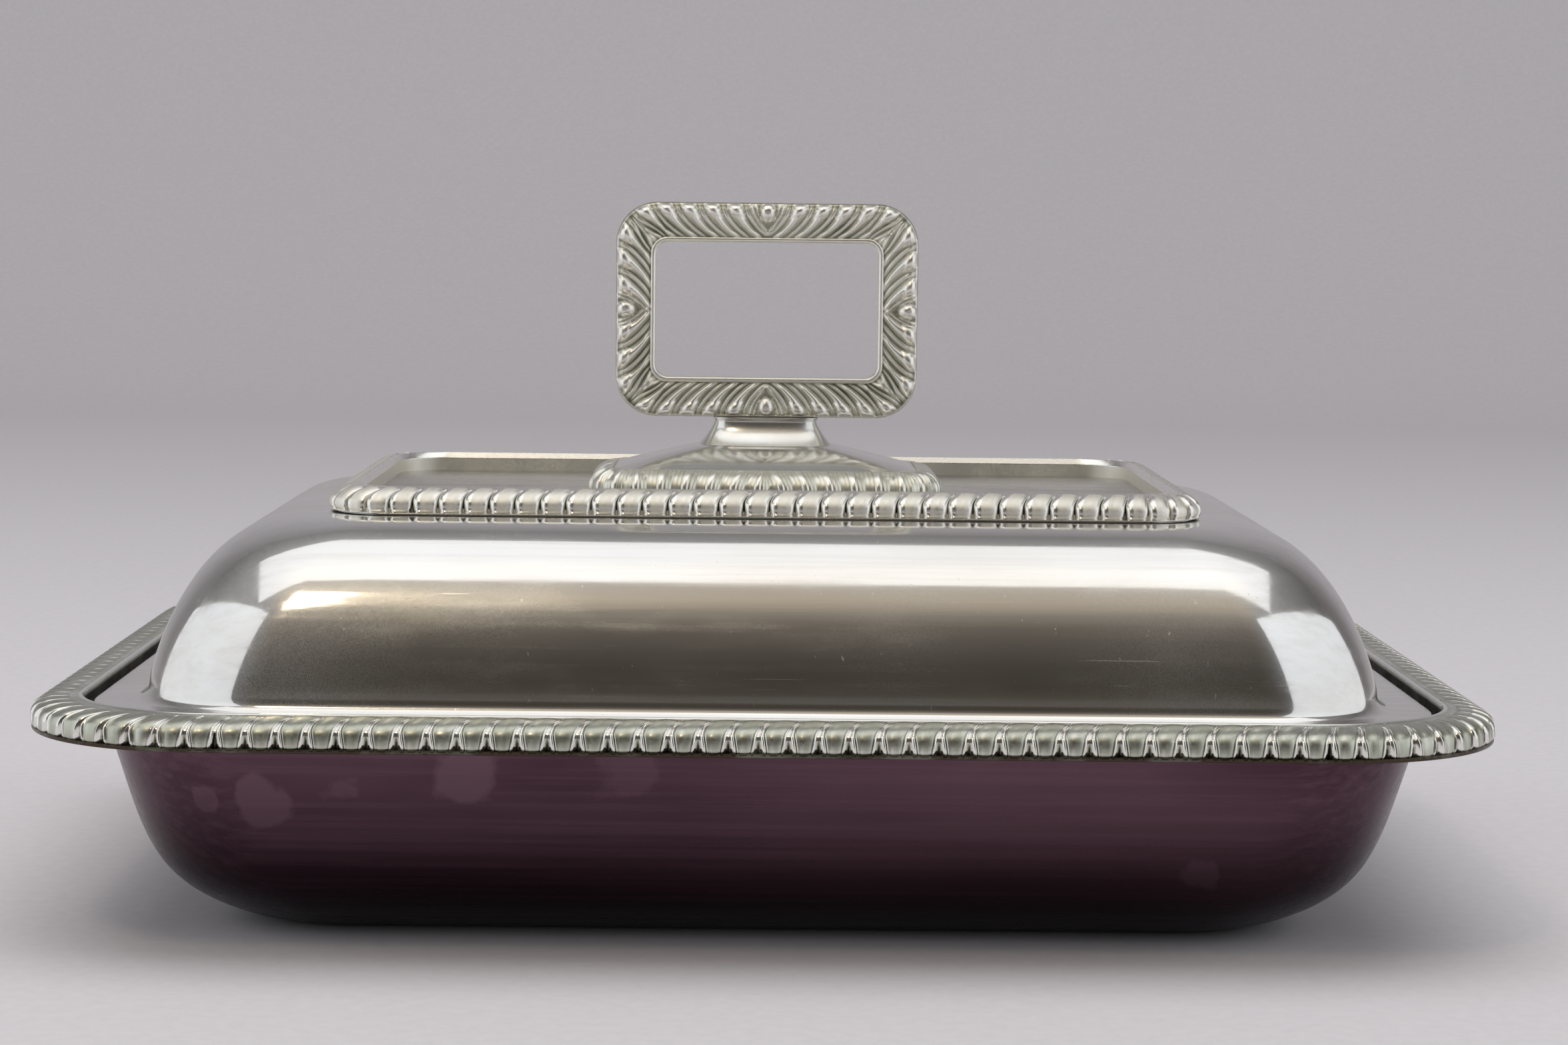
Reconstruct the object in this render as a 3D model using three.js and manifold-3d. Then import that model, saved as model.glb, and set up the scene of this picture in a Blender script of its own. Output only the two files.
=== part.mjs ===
// Covered serving dish in silver plate: a deep pan with a gadrooned rim, a domed cover with
// a sunk top, and a loop handle whose stud locks into the cover with a quarter turn.
// Millimetres, +Z up, +X along the length. The origin is the middle of the pan's underside.
import * as THREE from 'three';
import Module from 'manifold-3d';
import { mergeVertices } from 'three/addons/utils/BufferGeometryUtils.js';

const wasm = await Module();
wasm.setup();

// Whole dish, over the outside of the rim border
const dishLength = 307;
const dishDepth = 232;
const rimHeight = 51;
const rimCornerRadius = 40;
const rimInnerCornerRadius = 32;

// Sheet and clearances
const sheet = 1.2;
const seatGap = 0.3;
const cutOverrun = 2;

// Rim border, a strip that hooks over the edge of the pan's ledge
const rimBorderWidth = 10.5;
const rimBorderHeight = 6.6;
const rimLandWidth = 3.6;
const rimLandEase = 0.4;
const rimLobeDrop = 4.4;
const rimFilletStep = 0.4;
const rimFilletHeight = 0.9;
const rimLipWidth = 2.3;

// Pan
const panWallInset = 14.4;
const panCornerRadius = 33;
const panBaseInset = 32.4;
const panBaseCornerRadius = 18;
const panWallLean = 11.4;
const panLedgeFillet = 1.6;
const panBulgeShare = 1.18;
const panDropShare = 5.8;
const panStepShare = 2;

// Cover
const coverPlay = 2;
const coverFlangeDrop = 2;
const coverFlangeWidth = 10.3;
const coverFlangeCornerRadius = 32;
const coverFootCornerRadius = 28;
const coverFootFillet = 3.2;
const coverRise = 39.4;
const coverStepHeight = 1.5;
const coverStepLean = 0.3;
const coverTopCornerRadius = 12.5;
const coverBulgeShare = 2.93;
const coverDropShare = 1.3;
const coverRadiusShare = 0.5;

// Top border, a strip that hooks over the step round the cover's flat top
const topBorderInset = 58;
const topBorderCornerRadius = 14;
const topInnerCornerRadius = 12;
const topBorderWidth = 6.8;
const topBorderHeight = 5.5;
const topLandWidth = 2;
const topLandEase = 0.3;
const topLobeDrop = 3.4;
const topFilletStep = 0.3;
const topFilletHeight = 1.1;
const topLipWidth = 1.3;

// Handle loop, two struck halves that meet in the middle plane
const loopLength = 69.6;
const loopHeight = 49.3;
const loopThickness = 9;
const loopBarWidth = 9.2;
const loopCornerRadius = 9.6;
const loopOpeningRadius = 3;
const loopRimWidth = 1.3;
const loopRimDepth = 3.1;
const loopEdgeDepth = 2.5;

// Handle neck
const neckHeight = 6.3;
const neckTopLength = 24.4;
const neckTopDepth = 8.8;
const neckWaistLength = 23.6;
const neckWaistDepth = 8.2;
const neckBottomLength = 30.6;
const neckBottomDepth = 15.6;
const neckTopRadius = 1.6;
const neckBottomRadius = 4.5;
const neckWaistShare = 0.32;

// Handle foot: a border ring, the dome on it and the plate inside it
const footLength = 80.6;
const footDepth = 50;
const footCornerRadius = 12;
const footBorderHeight = 5.7;
const footBorderWidth = 6.5;
const footLandWidth = 1.2;
const footLobeDrop = 4.2;
const footStepWidth = 1.6;
const footDomeRise = 4.8;
const footDomeEdgeWidth = 2.2;
const footTopRadius = 5;

// Locking stud and what holds it
const studRadius = 3.2;
const studHeadRadius = 5.6;
const studHeadHeight = 2;
const tenonRadius = 2.2;
const tenonEnd = 0.5;
const lockBarLength = 16;
const lockBarWidth = 4.8;
const lockBarThickness = 2.4;
const nutAcross = 7.4;
const nutThickness = 1.8;

// Socket plate under the cover's top, with its keyhole and two stop pins
const socketLength = 34;
const socketDepth = 24;
const socketThickness = 2.4;
const socketCornerRadius = 3;
const keyholeClearance = 0.35;
const stopPinRadius = 1.1;
const stopPinReach = 2.1;
const stopPinClearance = 0.45;
const stopPinSideShare = 0.8;

// Curve resolution
const cornerSteps = 8;
const curveSteps = 9;
const filletSteps = 3;
const footSteps = 6;
const lobeSteps = 4;
const roundSides = 20;
const nutSides = 6;

// Places worked out from the sizes above
const halfLength = dishLength / 2;
const lengthOverDepth = (dishLength - dishDepth) / 2;
const rimInnerHalf = halfLength - rimBorderWidth;
const flangeTop = rimHeight - coverFlangeDrop;
const ledgeTop = flangeTop - sheet;
const ledgeHalf = halfLength - rimLipWidth - seatGap;
const ledgeCornerRadius = rimCornerRadius - rimLipWidth - seatGap;
const panHalf = halfLength - panWallInset;
const flangeHalf = rimInnerHalf - coverPlay;
const coverFootHalf = flangeHalf - coverFlangeWidth;
const topBorderHalf = halfLength - topBorderInset;
const coverTopHalf = topBorderHalf - topLipWidth - seatGap - coverStepLean;
const coverTop = flangeTop + coverRise;
const footBottom = coverTop + seatGap;
const footDifference = (footLength - footDepth) / 2;
const footRingTop = footBottom + footBorderHeight;
const footTop = footRingTop + footDomeRise;
const neckTop = footTop + neckHeight;
const plateTop = footBottom + sheet;
const socketTop = coverTop - sheet;
const socketBottom = socketTop - socketThickness;
const lockBarTop = socketBottom - seatGap;
const lockBarBottom = lockBarTop - lockBarThickness;
const nutBottom = lockBarBottom - nutThickness;

// Finishes
const coverPlate = new THREE.MeshStandardMaterial({ color: 0xd4d2cc, roughness: 0.16, metalness: 1 });
const panPlate = new THREE.MeshStandardMaterial({ color: 0xb9b3ae, roughness: 0.3, metalness: 1 });
const gadroonPlate = new THREE.MeshStandardMaterial({ color: 0xc9c6b8, roughness: 0.22, metalness: 1 });
const handlePlate = new THREE.MeshStandardMaterial({ color: 0xc4c1b2, roughness: 0.24, metalness: 1 });
const fittingMetal = new THREE.MeshStandardMaterial({ color: 0xb9a878, roughness: 0.4, metalness: 1 });

const servingDish = new THREE.Group();

function addPiece(name, geometry, material) {
  geometry.computeVertexNormals();
  const piece = new THREE.Mesh(geometry, material);
  piece.name = name;
  servingDish.add(piece);
}

// Signed volume of a closed mesh, below zero where its faces point in
function signedVolume(points, faces) {
  let volume = 0;
  for (const [a, b, c] of faces) {
    const [ax, ay, az] = points[a];
    const [bx, by, bz] = points[b];
    const [cx, cy, cz] = points[c];
    volume += ax * (by * cz - bz * cy) + ay * (bz * cx - bx * cz) + az * (bx * cy - by * cx);
  }
  return volume;
}

function closedGeometry(points, faces) {
  const outward = signedVolume(points, faces) > 0;
  const index = faces.flatMap(([a, b, c]) => (outward ? [a, b, c] : [a, c, b]));
  const geometry = new THREE.BufferGeometry();
  geometry.setAttribute('position', new THREE.Float32BufferAttribute(points.flat(), 3));
  geometry.setIndex(index);
  return geometry;
}

// A closed outline of a rectangle with round corners, as [x, y] pairs
function roundedOutline(halfX, halfY, radius) {
  const outline = [];
  const quarters = [[1, 1], [-1, 1], [-1, -1], [1, -1]];
  quarters.forEach(([sideX, sideY], quarter) => {
    for (let step = 0; step <= cornerSteps; step += 1) {
      const angle = (quarter + step / cornerSteps) * Math.PI / 2;
      const x = sideX * (halfX - radius) + radius * Math.cos(angle);
      const y = sideY * (halfY - radius) + radius * Math.sin(angle);
      outline.push([x, y]);
    }
  });
  return outline;
}

function levelRing(halfX, halfY, radius, z) {
  return roundedOutline(halfX, halfY, radius).map(([x, y]) => [x, y, z]);
}

// Joins rings of equal count into a skin, closed by two flat caps or by its own first ring
function loft(rings, wraps) {
  const count = rings[0].length;
  const points = rings.flat();
  const faces = [];
  const spans = wraps ? rings.length : rings.length - 1;
  for (let ring = 0; ring < spans; ring += 1) {
    const here = ring * count;
    const next = ((ring + 1) % rings.length) * count;
    for (let side = 0; side < count; side += 1) {
      const after = (side + 1) % count;
      faces.push([here + side, here + after, next + after]);
      faces.push([here + side, next + after, next + side]);
    }
  }
  if (!wraps) {
    const last = (rings.length - 1) * count;
    for (let side = 1; side < count - 1; side += 1) {
      faces.push([0, side + 1, side]);
      faces.push([last, last + side, last + side + 1]);
    }
  }
  return closedGeometry(points, faces);
}

// A profile is a list of { half, z, radius } that runs outward from one flat to another.
// The same list moved aside by a distance, along the mitre where two of its lines meet.
function movedProfile(profile, distance) {
  const normals = [{ out: 0, up: 1 }];
  for (let at = 1; at < profile.length; at += 1) {
    const run = profile[at].half - profile[at - 1].half;
    const rise = profile[at].z - profile[at - 1].z;
    const length = Math.hypot(run, rise);
    normals.push({ out: -rise / length, up: run / length });
  }
  normals.push({ out: 0, up: 1 });
  return profile.map(({ half, z, radius }, at) => {
    const out = normals[at].out + normals[at + 1].out;
    const up = normals[at].up + normals[at + 1].up;
    const reach = distance * 2 / (out * out + up * up);
    const moved = Math.max(radius + reach * out, sheet);
    return { half: half + reach * out, z: z + reach * up, radius: moved };
  });
}

function profileRings(profile, difference) {
  return profile.map(({ half, z, radius }) => levelRing(half, half - difference, radius, z));
}

// A raised sheet: its profile, then the same profile moved aside by the thickness, reversed
function raisedSheet(profile, thickness, difference) {
  const inner = movedProfile(profile, thickness).reverse();
  return loft(profileRings([...profile, ...inner], difference), false);
}

function flatPlate(halfX, halfY, radius, bottom, thickness, hole) {
  const outline = roundedOutline(halfX, halfY, radius);
  const shape = new THREE.Shape(outline.map(([x, y]) => new THREE.Vector2(x, y)));
  if (hole) {
    shape.holes.push(hole);
  }
  const plate = new THREE.ExtrudeGeometry(shape, { depth: thickness, bevelEnabled: false });
  plate.translate(0, 0, bottom);
  return plate;
}

function roundHole(radius) {
  const hole = new THREE.Path();
  hole.absarc(0, 0, radius, 0, Math.PI * 2, false);
  return hole;
}

function toManifold(geometry) {
  const bare = geometry.clone();
  bare.deleteAttribute('normal');
  bare.deleteAttribute('uv');
  const merged = mergeVertices(bare);
  const vertProperties = new Float32Array(merged.attributes.position.array);
  const triVerts = new Uint32Array(merged.index.array);
  return new wasm.Manifold(new wasm.Mesh({ numProp: 3, vertProperties, triVerts }));
}

function fromManifold(solid) {
  const mesh = solid.getMesh();
  const geometry = new THREE.BufferGeometry();
  geometry.setAttribute('position', new THREE.BufferAttribute(new Float32Array(mesh.vertProperties), 3));
  geometry.setIndex(new THREE.BufferAttribute(new Uint32Array(mesh.triVerts), 1));
  return geometry;
}

// Pan: flat base, a wall that swells out and up, and a ledge that carries the cover's flange
function panProfile() {
  const baseHalf = panHalf - panBaseInset;
  const wallTop = ledgeTop - sheet - panLedgeFillet;
  const profile = [];
  for (let step = 0; step <= curveSteps; step += 1) {
    const riseShare = (step / curveSteps) ** panStepShare;
    const outShare = (1 - (1 - riseShare) ** panDropShare) ** (1 / panBulgeShare);
    const half = baseHalf + (panBaseInset - panWallLean) * outShare + panWallLean * riseShare;
    const radius = panBaseCornerRadius + (panCornerRadius - panBaseCornerRadius) * outShare;
    profile.push({ half, z: wallTop * riseShare, radius });
  }
  for (let step = 1; step <= filletSteps; step += 1) {
    const angle = step / filletSteps * Math.PI / 2;
    const out = panLedgeFillet * (1 - Math.cos(angle));
    const z = wallTop + panLedgeFillet * Math.sin(angle);
    profile.push({ half: panHalf + out, z, radius: panCornerRadius + out });
  }
  profile.push({ half: ledgeHalf, z: ledgeTop - sheet, radius: ledgeCornerRadius });
  return profile;
}

addPiece('dish_pan', raisedSheet(panProfile(), sheet, lengthOverDepth), panPlate);

// Border section: a narrow land, the swell of the lobes, a plain fillet and a lip that hangs
// below the seat and hooks over the edge that the border covers. Each point is [out, z, share]:
// the share of a corner's spare width that moves it outward.
function borderSection(size) {
  const crest = size.top - size.lobeDrop;
  const section = [[0, size.seat, 0], [0, size.top - size.landEase, 0], [size.landEase, size.top, 0]];
  for (let step = 0; step <= lobeSteps; step += 1) {
    const angle = (1 - step / lobeSteps) * Math.PI / 2;
    const out = size.land + (size.width - size.land) * Math.cos(angle);
    section.push([out, crest + size.lobeDrop * Math.sin(angle), 1]);
  }
  section.push([size.width - size.filletStep, size.bottom + size.filletHeight, 1]);
  section.push([size.width - size.filletStep, size.bottom, 1]);
  section.push([size.width - size.lip, size.bottom, 1]);
  section.push([size.width - size.lip, size.seat, 1]);
  return section;
}

// Sweeps a section through frames { x, y, outX, outY, spare } and closes it with flat ends
function sweepSection(section, frames) {
  const count = section.length;
  const rings = frames.map(({ x, y, outX, outY, spare }) => section.map(([out, z, share]) => {
    const reach = out + spare * share;
    return [x + outX * reach, y + outY * reach, z];
  }));
  const faces = [];
  for (let frame = 0; frame < frames.length - 1; frame += 1) {
    const here = frame * count;
    const next = here + count;
    for (let side = 0; side < count; side += 1) {
      const after = (side + 1) % count;
      faces.push([here + side, here + after, next + after]);
      faces.push([here + side, next + after, next + side]);
    }
  }
  const last = (frames.length - 1) * count;
  const flat = section.map(([out, z]) => new THREE.Vector2(out, z));
  const clockwise = THREE.ShapeUtils.isClockWise(flat);
  for (const [a, b, c] of THREE.ShapeUtils.triangulateShape(flat, [])) {
    faces.push(clockwise ? [a, b, c] : [a, c, b]);
    faces.push(clockwise ? [last + a, last + c, last + b] : [last + a, last + b, last + c]);
  }
  return closedGeometry(rings.flat(), faces);
}

// How far a ray from a corner's centre runs to the outer edge: two short straights and an arc
function outerReach(angle, reach, radius) {
  const straight = reach - radius;
  const larger = Math.max(Math.cos(angle), Math.sin(angle));
  const smaller = Math.min(Math.cos(angle), Math.sin(angle));
  if (reach * smaller <= straight * larger) {
    return reach / larger;
  }
  const along = straight * (larger + smaller);
  return along + Math.sqrt(along * along - 2 * straight * straight + radius * radius);
}

// Four straight strips and four corner pieces round a rectangle with round corners
function addBorder(prefix, size, halfX, halfY, material) {
  const section = borderSection(size);
  const wallX = halfX - size.width;
  const wallY = halfY - size.width;
  const straightX = wallX - size.innerRadius;
  const straightY = wallY - size.innerRadius;
  const strips = [
    ['front', [-straightX, -wallY], [straightX, -wallY], [0, -1]],
    ['back', [straightX, wallY], [-straightX, wallY], [0, 1]],
    ['left', [-wallX, straightY], [-wallX, -straightY], [-1, 0]],
    ['right', [wallX, -straightY], [wallX, straightY], [1, 0]],
  ];
  for (const [side, start, end, [outX, outY]] of strips) {
    const frames = [start, end].map(([x, y]) => ({ x, y, outX, outY, spare: 0 }));
    addPiece(`${prefix}_${side}`, sweepSection(section, frames), material);
  }
  const corners = [
    ['back_right', 1, 1],
    ['back_left', -1, 1],
    ['front_left', -1, -1],
    ['front_right', 1, -1],
  ];
  corners.forEach(([side, sideX, sideY], quarter) => {
    const frames = [];
    for (let step = 0; step <= cornerSteps; step += 1) {
      const turn = step / cornerSteps * Math.PI / 2;
      const angle = quarter * Math.PI / 2 + turn;
      const outX = Math.cos(angle);
      const outY = Math.sin(angle);
      const x = sideX * straightX + size.innerRadius * outX;
      const y = sideY * straightY + size.innerRadius * outY;
      const edge = outerReach(turn, size.innerRadius + size.width, size.cornerRadius);
      frames.push({ x, y, outX, outY, spare: edge - size.innerRadius - size.width });
    }
    addPiece(`${prefix}_corner_${side}`, sweepSection(section, frames), material);
  });
}

const rimBorder = {
  width: rimBorderWidth,
  land: rimLandWidth,
  landEase: rimLandEase,
  lobeDrop: rimLobeDrop,
  filletStep: rimFilletStep,
  filletHeight: rimFilletHeight,
  lip: rimLipWidth,
  cornerRadius: rimCornerRadius,
  innerRadius: rimInnerCornerRadius,
  top: rimHeight,
  seat: ledgeTop,
  bottom: rimHeight - rimBorderHeight,
};
addBorder('rim_border', rimBorder, halfLength, dishDepth / 2, gadroonPlate);

// Cover: a flat top with a step round it, a full shoulder, a hollow fillet and a flat flange
function coverProfile() {
  const wallBottom = flangeTop + coverFootFillet;
  const shoulderTop = coverTop - coverStepHeight;
  const shoulderHalf = coverTopHalf + coverStepLean;
  const profile = [{ half: coverTopHalf, z: coverTop, radius: coverTopCornerRadius }];
  for (let step = 0; step <= curveSteps; step += 1) {
    const angle = (1 - step / curveSteps) * Math.PI / 2;
    const riseShare = Math.sin(angle) ** (2 / coverDropShare);
    const outShare = Math.cos(angle) ** (2 / coverBulgeShare);
    const half = shoulderHalf + (coverFootHalf - shoulderHalf) * outShare;
    const z = wallBottom + (shoulderTop - wallBottom) * riseShare;
    const spread = (coverFootCornerRadius - coverTopCornerRadius) * outShare ** coverRadiusShare;
    profile.push({ half, z, radius: coverTopCornerRadius + spread });
  }
  for (let step = 1; step <= filletSteps; step += 1) {
    const angle = step / filletSteps * Math.PI / 2;
    const out = coverFootFillet * (1 - Math.cos(angle));
    const z = wallBottom - coverFootFillet * Math.sin(angle);
    profile.push({ half: coverFootHalf + out, z, radius: coverFootCornerRadius + out });
  }
  profile.push({ half: flangeHalf, z: flangeTop, radius: coverFlangeCornerRadius });
  return profile;
}

// Keyhole: a round hole for the stud with a slot along X that lets the lock bar through
function keyhole() {
  const reach = lockBarLength / 2 + keyholeClearance;
  const side = lockBarWidth / 2 + keyholeClearance;
  const radius = studRadius + keyholeClearance;
  const meet = Math.asin(side / radius);
  const shape = new THREE.Shape();
  shape.moveTo(reach, -side);
  shape.lineTo(reach, side);
  shape.absarc(0, 0, radius, meet, Math.PI - meet, false);
  shape.lineTo(-reach, side);
  shape.lineTo(-reach, -side);
  shape.absarc(0, 0, radius, Math.PI + meet, Math.PI * 2 - meet, false);
  return shape;
}

const coverSkin = raisedSheet(coverProfile(), -sheet, lengthOverDepth);
const keyDepth = sheet + cutOverrun * 2;
const keyCutter = new THREE.ExtrudeGeometry(keyhole(), { depth: keyDepth, bevelEnabled: false });
keyCutter.translate(0, 0, coverTop - sheet - cutOverrun);
const coverSolid = toManifold(coverSkin).subtract(toManifold(keyCutter));
addPiece('cover_dome', fromManifold(coverSolid), coverPlate);

const topBorder = {
  width: topBorderWidth,
  land: topLandWidth,
  landEase: topLandEase,
  lobeDrop: topLobeDrop,
  filletStep: topFilletStep,
  filletHeight: topFilletHeight,
  lip: topLipWidth,
  cornerRadius: topBorderCornerRadius,
  innerRadius: topInnerCornerRadius,
  top: coverTop - coverStepHeight + seatGap + topBorderHeight,
  seat: coverTop,
  bottom: coverTop - coverStepHeight + seatGap,
};
addBorder('top_border', topBorder, topBorderHalf, topBorderHalf - lengthOverDepth, gadroonPlate);

// Socket plate, soldered under the cover's top, and the pins that stop the lock bar
const socketHole = new THREE.Path(keyhole().getPoints(cornerSteps));
const socketPlate = flatPlate(
  socketLength / 2, socketDepth / 2, socketCornerRadius, socketBottom, socketThickness, socketHole);
addPiece('socket_plate', socketPlate, fittingMetal);

const pinAside = lockBarWidth / 2 + stopPinClearance + stopPinRadius;
const pinAlong = lockBarLength / 2 * stopPinSideShare;
const stopPins = [['stop_pin_back', pinAside, pinAlong], ['stop_pin_front', -pinAlong, -pinAside]];
for (const [name, x, y] of stopPins) {
  const pin = new THREE.CylinderGeometry(stopPinRadius, stopPinRadius, stopPinReach, roundSides);
  pin.rotateX(Math.PI / 2);
  pin.translate(x, y, socketBottom - stopPinReach / 2);
  addPiece(name, fromManifold(toManifold(pin)), fittingMetal);
}

// Handle loop: each half is a bar section carried round the rounded opening
function loopHalf(side) {
  const openHalfX = loopLength / 2 - loopBarWidth;
  const openHalfZ = loopHeight / 2 - loopBarWidth;
  const middle = neckTop + loopHeight / 2;
  const crown = loopThickness / 2;
  const section = [[0, 0], [0, loopRimDepth], [loopRimWidth, loopRimDepth]];
  for (let step = 0; step <= lobeSteps; step += 1) {
    const along = step / lobeSteps;
    const out = loopRimWidth + (loopBarWidth - loopRimWidth) * along;
    const floor = loopRimDepth + (loopEdgeDepth - loopRimDepth) * along;
    const swell = (crown - loopEdgeDepth) * Math.sin(Math.PI * along);
    section.push([out, Math.min(floor + swell, crown)]);
  }
  section.push([loopBarWidth, 0]);
  const rings = section.map(([out, depth]) => {
    const radius = loopOpeningRadius + (loopCornerRadius - loopOpeningRadius) * out / loopBarWidth;
    const outline = roundedOutline(openHalfX + out, openHalfZ + out, radius);
    return outline.map(([x, up]) => [x, side * depth, middle + up]);
  });
  return loft(rings, true);
}

addPiece('handle_loop_front', loopHalf(-1), handlePlate);
addPiece('handle_loop_back', loopHalf(1), handlePlate);

// Handle neck: a waist under the loop that flares down to the foot
function neckShape() {
  const rings = [];
  for (let step = 0; step <= footSteps; step += 1) {
    const down = step / footSteps;
    const rise = Math.max(neckWaistShare - down, 0) / neckWaistShare;
    const flare = (Math.max(down - neckWaistShare, 0) / (1 - neckWaistShare)) ** 2;
    const length = neckWaistLength + (neckTopLength - neckWaistLength) * rise
      + (neckBottomLength - neckWaistLength) * flare;
    const depth = neckWaistDepth + (neckTopDepth - neckWaistDepth) * rise
      + (neckBottomDepth - neckWaistDepth) * flare;
    const radius = neckTopRadius + (neckBottomRadius - neckTopRadius) * flare;
    rings.push(levelRing(length / 2, depth / 2, radius, neckTop - neckHeight * down));
  }
  return loft(rings, false);
}

addPiece('handle_neck', neckShape(), handlePlate);

// Foot dome: a hollow cap that falls in a double curve from the neck to the foot's border
function footDome() {
  const edgeHalfX = footLength / 2 - footBorderWidth;
  const edgeHalfY = edgeHalfX - footDifference;
  const edgeRadius = footCornerRadius - footBorderWidth + footDomeEdgeWidth;
  const topHalfX = neckBottomLength / 2;
  const topHalfY = neckBottomDepth / 2;
  const outer = [];
  const inner = [];
  for (let step = 0; step <= footSteps; step += 1) {
    const out = step / footSteps;
    const halfX = topHalfX + (edgeHalfX - topHalfX) * out;
    const halfY = topHalfY + (edgeHalfY - topHalfY) * out;
    const radius = footTopRadius + (edgeRadius - footTopRadius) * out;
    const z = footTop - footDomeRise * (1 - Math.cos(Math.PI * out)) / 2;
    const under = Math.max(z - sheet, footRingTop);
    const innerX = halfX - footDomeEdgeWidth;
    const innerY = halfY - footDomeEdgeWidth;
    outer.push(levelRing(halfX, halfY, radius, z));
    inner.unshift(levelRing(innerX, innerY, radius, under));
  }
  return loft([...outer, ...inner], false);
}

addPiece('handle_foot_dome', footDome(), handlePlate);

// Foot border: a closed ring with a step inside that the foot plate fits up against
function footRing() {
  const outerHalf = footLength / 2;
  const innerHalf = outerHalf - footBorderWidth - footDomeEdgeWidth;
  const plateHalf = innerHalf + footStepWidth;
  const landHalf = outerHalf - footBorderWidth + footLandWidth;
  const profile = [
    { half: plateHalf, z: footBottom },
    { half: plateHalf, z: plateTop },
    { half: innerHalf, z: plateTop },
    { half: innerHalf, z: footRingTop },
  ];
  for (let step = 0; step <= lobeSteps; step += 1) {
    const angle = (1 - step / lobeSteps) * Math.PI / 2;
    const half = landHalf + (outerHalf - landHalf) * Math.cos(angle);
    profile.push({ half, z: footRingTop - footLobeDrop + footLobeDrop * Math.sin(angle) });
  }
  profile.push({ half: outerHalf, z: footBottom });
  const rings = profile.map(({ half, z }) => {
    const radius = Math.max(footCornerRadius - outerHalf + half, sheet);
    return levelRing(half, half - footDifference, radius, z);
  });
  return loft(rings, true);
}

addPiece('handle_foot_border', footRing(), handlePlate);

const plateHalfX = footLength / 2 - footBorderWidth - footDomeEdgeWidth + footStepWidth - seatGap;
const plateHalfY = plateHalfX - footDifference;
const plateRadius = Math.max(footCornerRadius - footLength / 2 + plateHalfX, sheet);
const plateHole = roundHole(studRadius + seatGap);
const footPlate = flatPlate(plateHalfX, plateHalfY, plateRadius, footBottom, sheet, plateHole);
addPiece('handle_foot_plate', footPlate, fittingMetal);

// Stud: a head on the foot plate, a shank through the keyhole and a tenon for the lock bar
const studProfile = [
  [0, plateTop + studHeadHeight],
  [studHeadRadius, plateTop + studHeadHeight],
  [studHeadRadius, plateTop],
  [studRadius, plateTop],
  [studRadius, lockBarTop],
  [tenonRadius, lockBarTop],
  [tenonRadius, nutBottom - tenonEnd],
  [0, nutBottom - tenonEnd],
];

function turned(profile) {
  const upward = profile.map(([radius, z]) => new THREE.Vector2(radius, z)).reverse();
  const lathe = new THREE.LatheGeometry(upward, roundSides);
  lathe.rotateX(Math.PI / 2);
  return fromManifold(toManifold(lathe));
}

addPiece('lock_stud', turned(studProfile), fittingMetal);

// Lock bar: lies across the keyhole when locked, along it after the quarter turn
const lockBarShape = new THREE.Shape();
lockBarShape.moveTo(-lockBarWidth / 2, -lockBarLength / 2);
lockBarShape.lineTo(lockBarWidth / 2, -lockBarLength / 2);
lockBarShape.lineTo(lockBarWidth / 2, lockBarLength / 2);
lockBarShape.lineTo(-lockBarWidth / 2, lockBarLength / 2);
lockBarShape.holes.push(roundHole(tenonRadius + seatGap / 2));
const lockBar = new THREE.ExtrudeGeometry(lockBarShape, { depth: lockBarThickness, bevelEnabled: false });
lockBar.translate(0, 0, lockBarBottom);
addPiece('lock_bar', lockBar, fittingMetal);

const nutShape = new THREE.Shape();
for (let side = 0; side < nutSides; side += 1) {
  const angle = side / nutSides * Math.PI * 2;
  const reach = nutAcross / 2 / Math.cos(Math.PI / nutSides);
  const draw = side === 0 ? 'moveTo' : 'lineTo';
  nutShape[draw](reach * Math.cos(angle), reach * Math.sin(angle));
}
nutShape.holes.push(roundHole(tenonRadius + seatGap / 2));
const nut = new THREE.ExtrudeGeometry(nutShape, { depth: nutThickness, bevelEnabled: false });
nut.translate(0, 0, nutBottom);
addPiece('lock_nut', nut, fittingMetal);

export default servingDish;
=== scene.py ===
# Covered serving dish in silver plate: the pan with its gadrooned rim, the domed cover
# with its sunk top, and the loop handle that stands on it.
import math

import bpy
import numpy as np
from mathutils import Matrix


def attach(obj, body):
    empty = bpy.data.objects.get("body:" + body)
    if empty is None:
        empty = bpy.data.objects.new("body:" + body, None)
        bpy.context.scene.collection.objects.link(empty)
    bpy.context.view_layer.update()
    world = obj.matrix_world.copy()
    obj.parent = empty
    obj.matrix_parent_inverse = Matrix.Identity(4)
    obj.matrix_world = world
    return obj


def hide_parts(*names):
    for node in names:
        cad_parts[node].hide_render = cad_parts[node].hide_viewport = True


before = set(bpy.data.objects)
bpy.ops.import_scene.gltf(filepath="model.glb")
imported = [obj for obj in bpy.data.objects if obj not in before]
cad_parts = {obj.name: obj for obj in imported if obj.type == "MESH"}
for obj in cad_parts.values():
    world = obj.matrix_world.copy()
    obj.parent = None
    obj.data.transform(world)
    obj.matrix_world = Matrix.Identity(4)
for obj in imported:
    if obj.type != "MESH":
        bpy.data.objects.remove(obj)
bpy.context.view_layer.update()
mm = 0.001  # sizes of the dish are in millimetres, scaled where a mesh or a node takes them
print("frame loaded:", len(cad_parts), "solids")

# Camera, with its lens and place in millimetres and its angles in degrees
cameraView = {
    "lens": 76.96, "sensor": 36, "place": (-4.7, -775.1, 152.3), "pitch": 5.261, "yaw": 0.684, "roll": 0.676,
}


def facing(axes, place):
    # The matrix that lays an object's X, Y and Z along three directions, at a place in metres
    placed = np.eye(4)
    placed[:3, :3] = np.stack(axes, axis=1)
    placed[:3, 3] = place
    return Matrix(placed.tolist())


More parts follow.
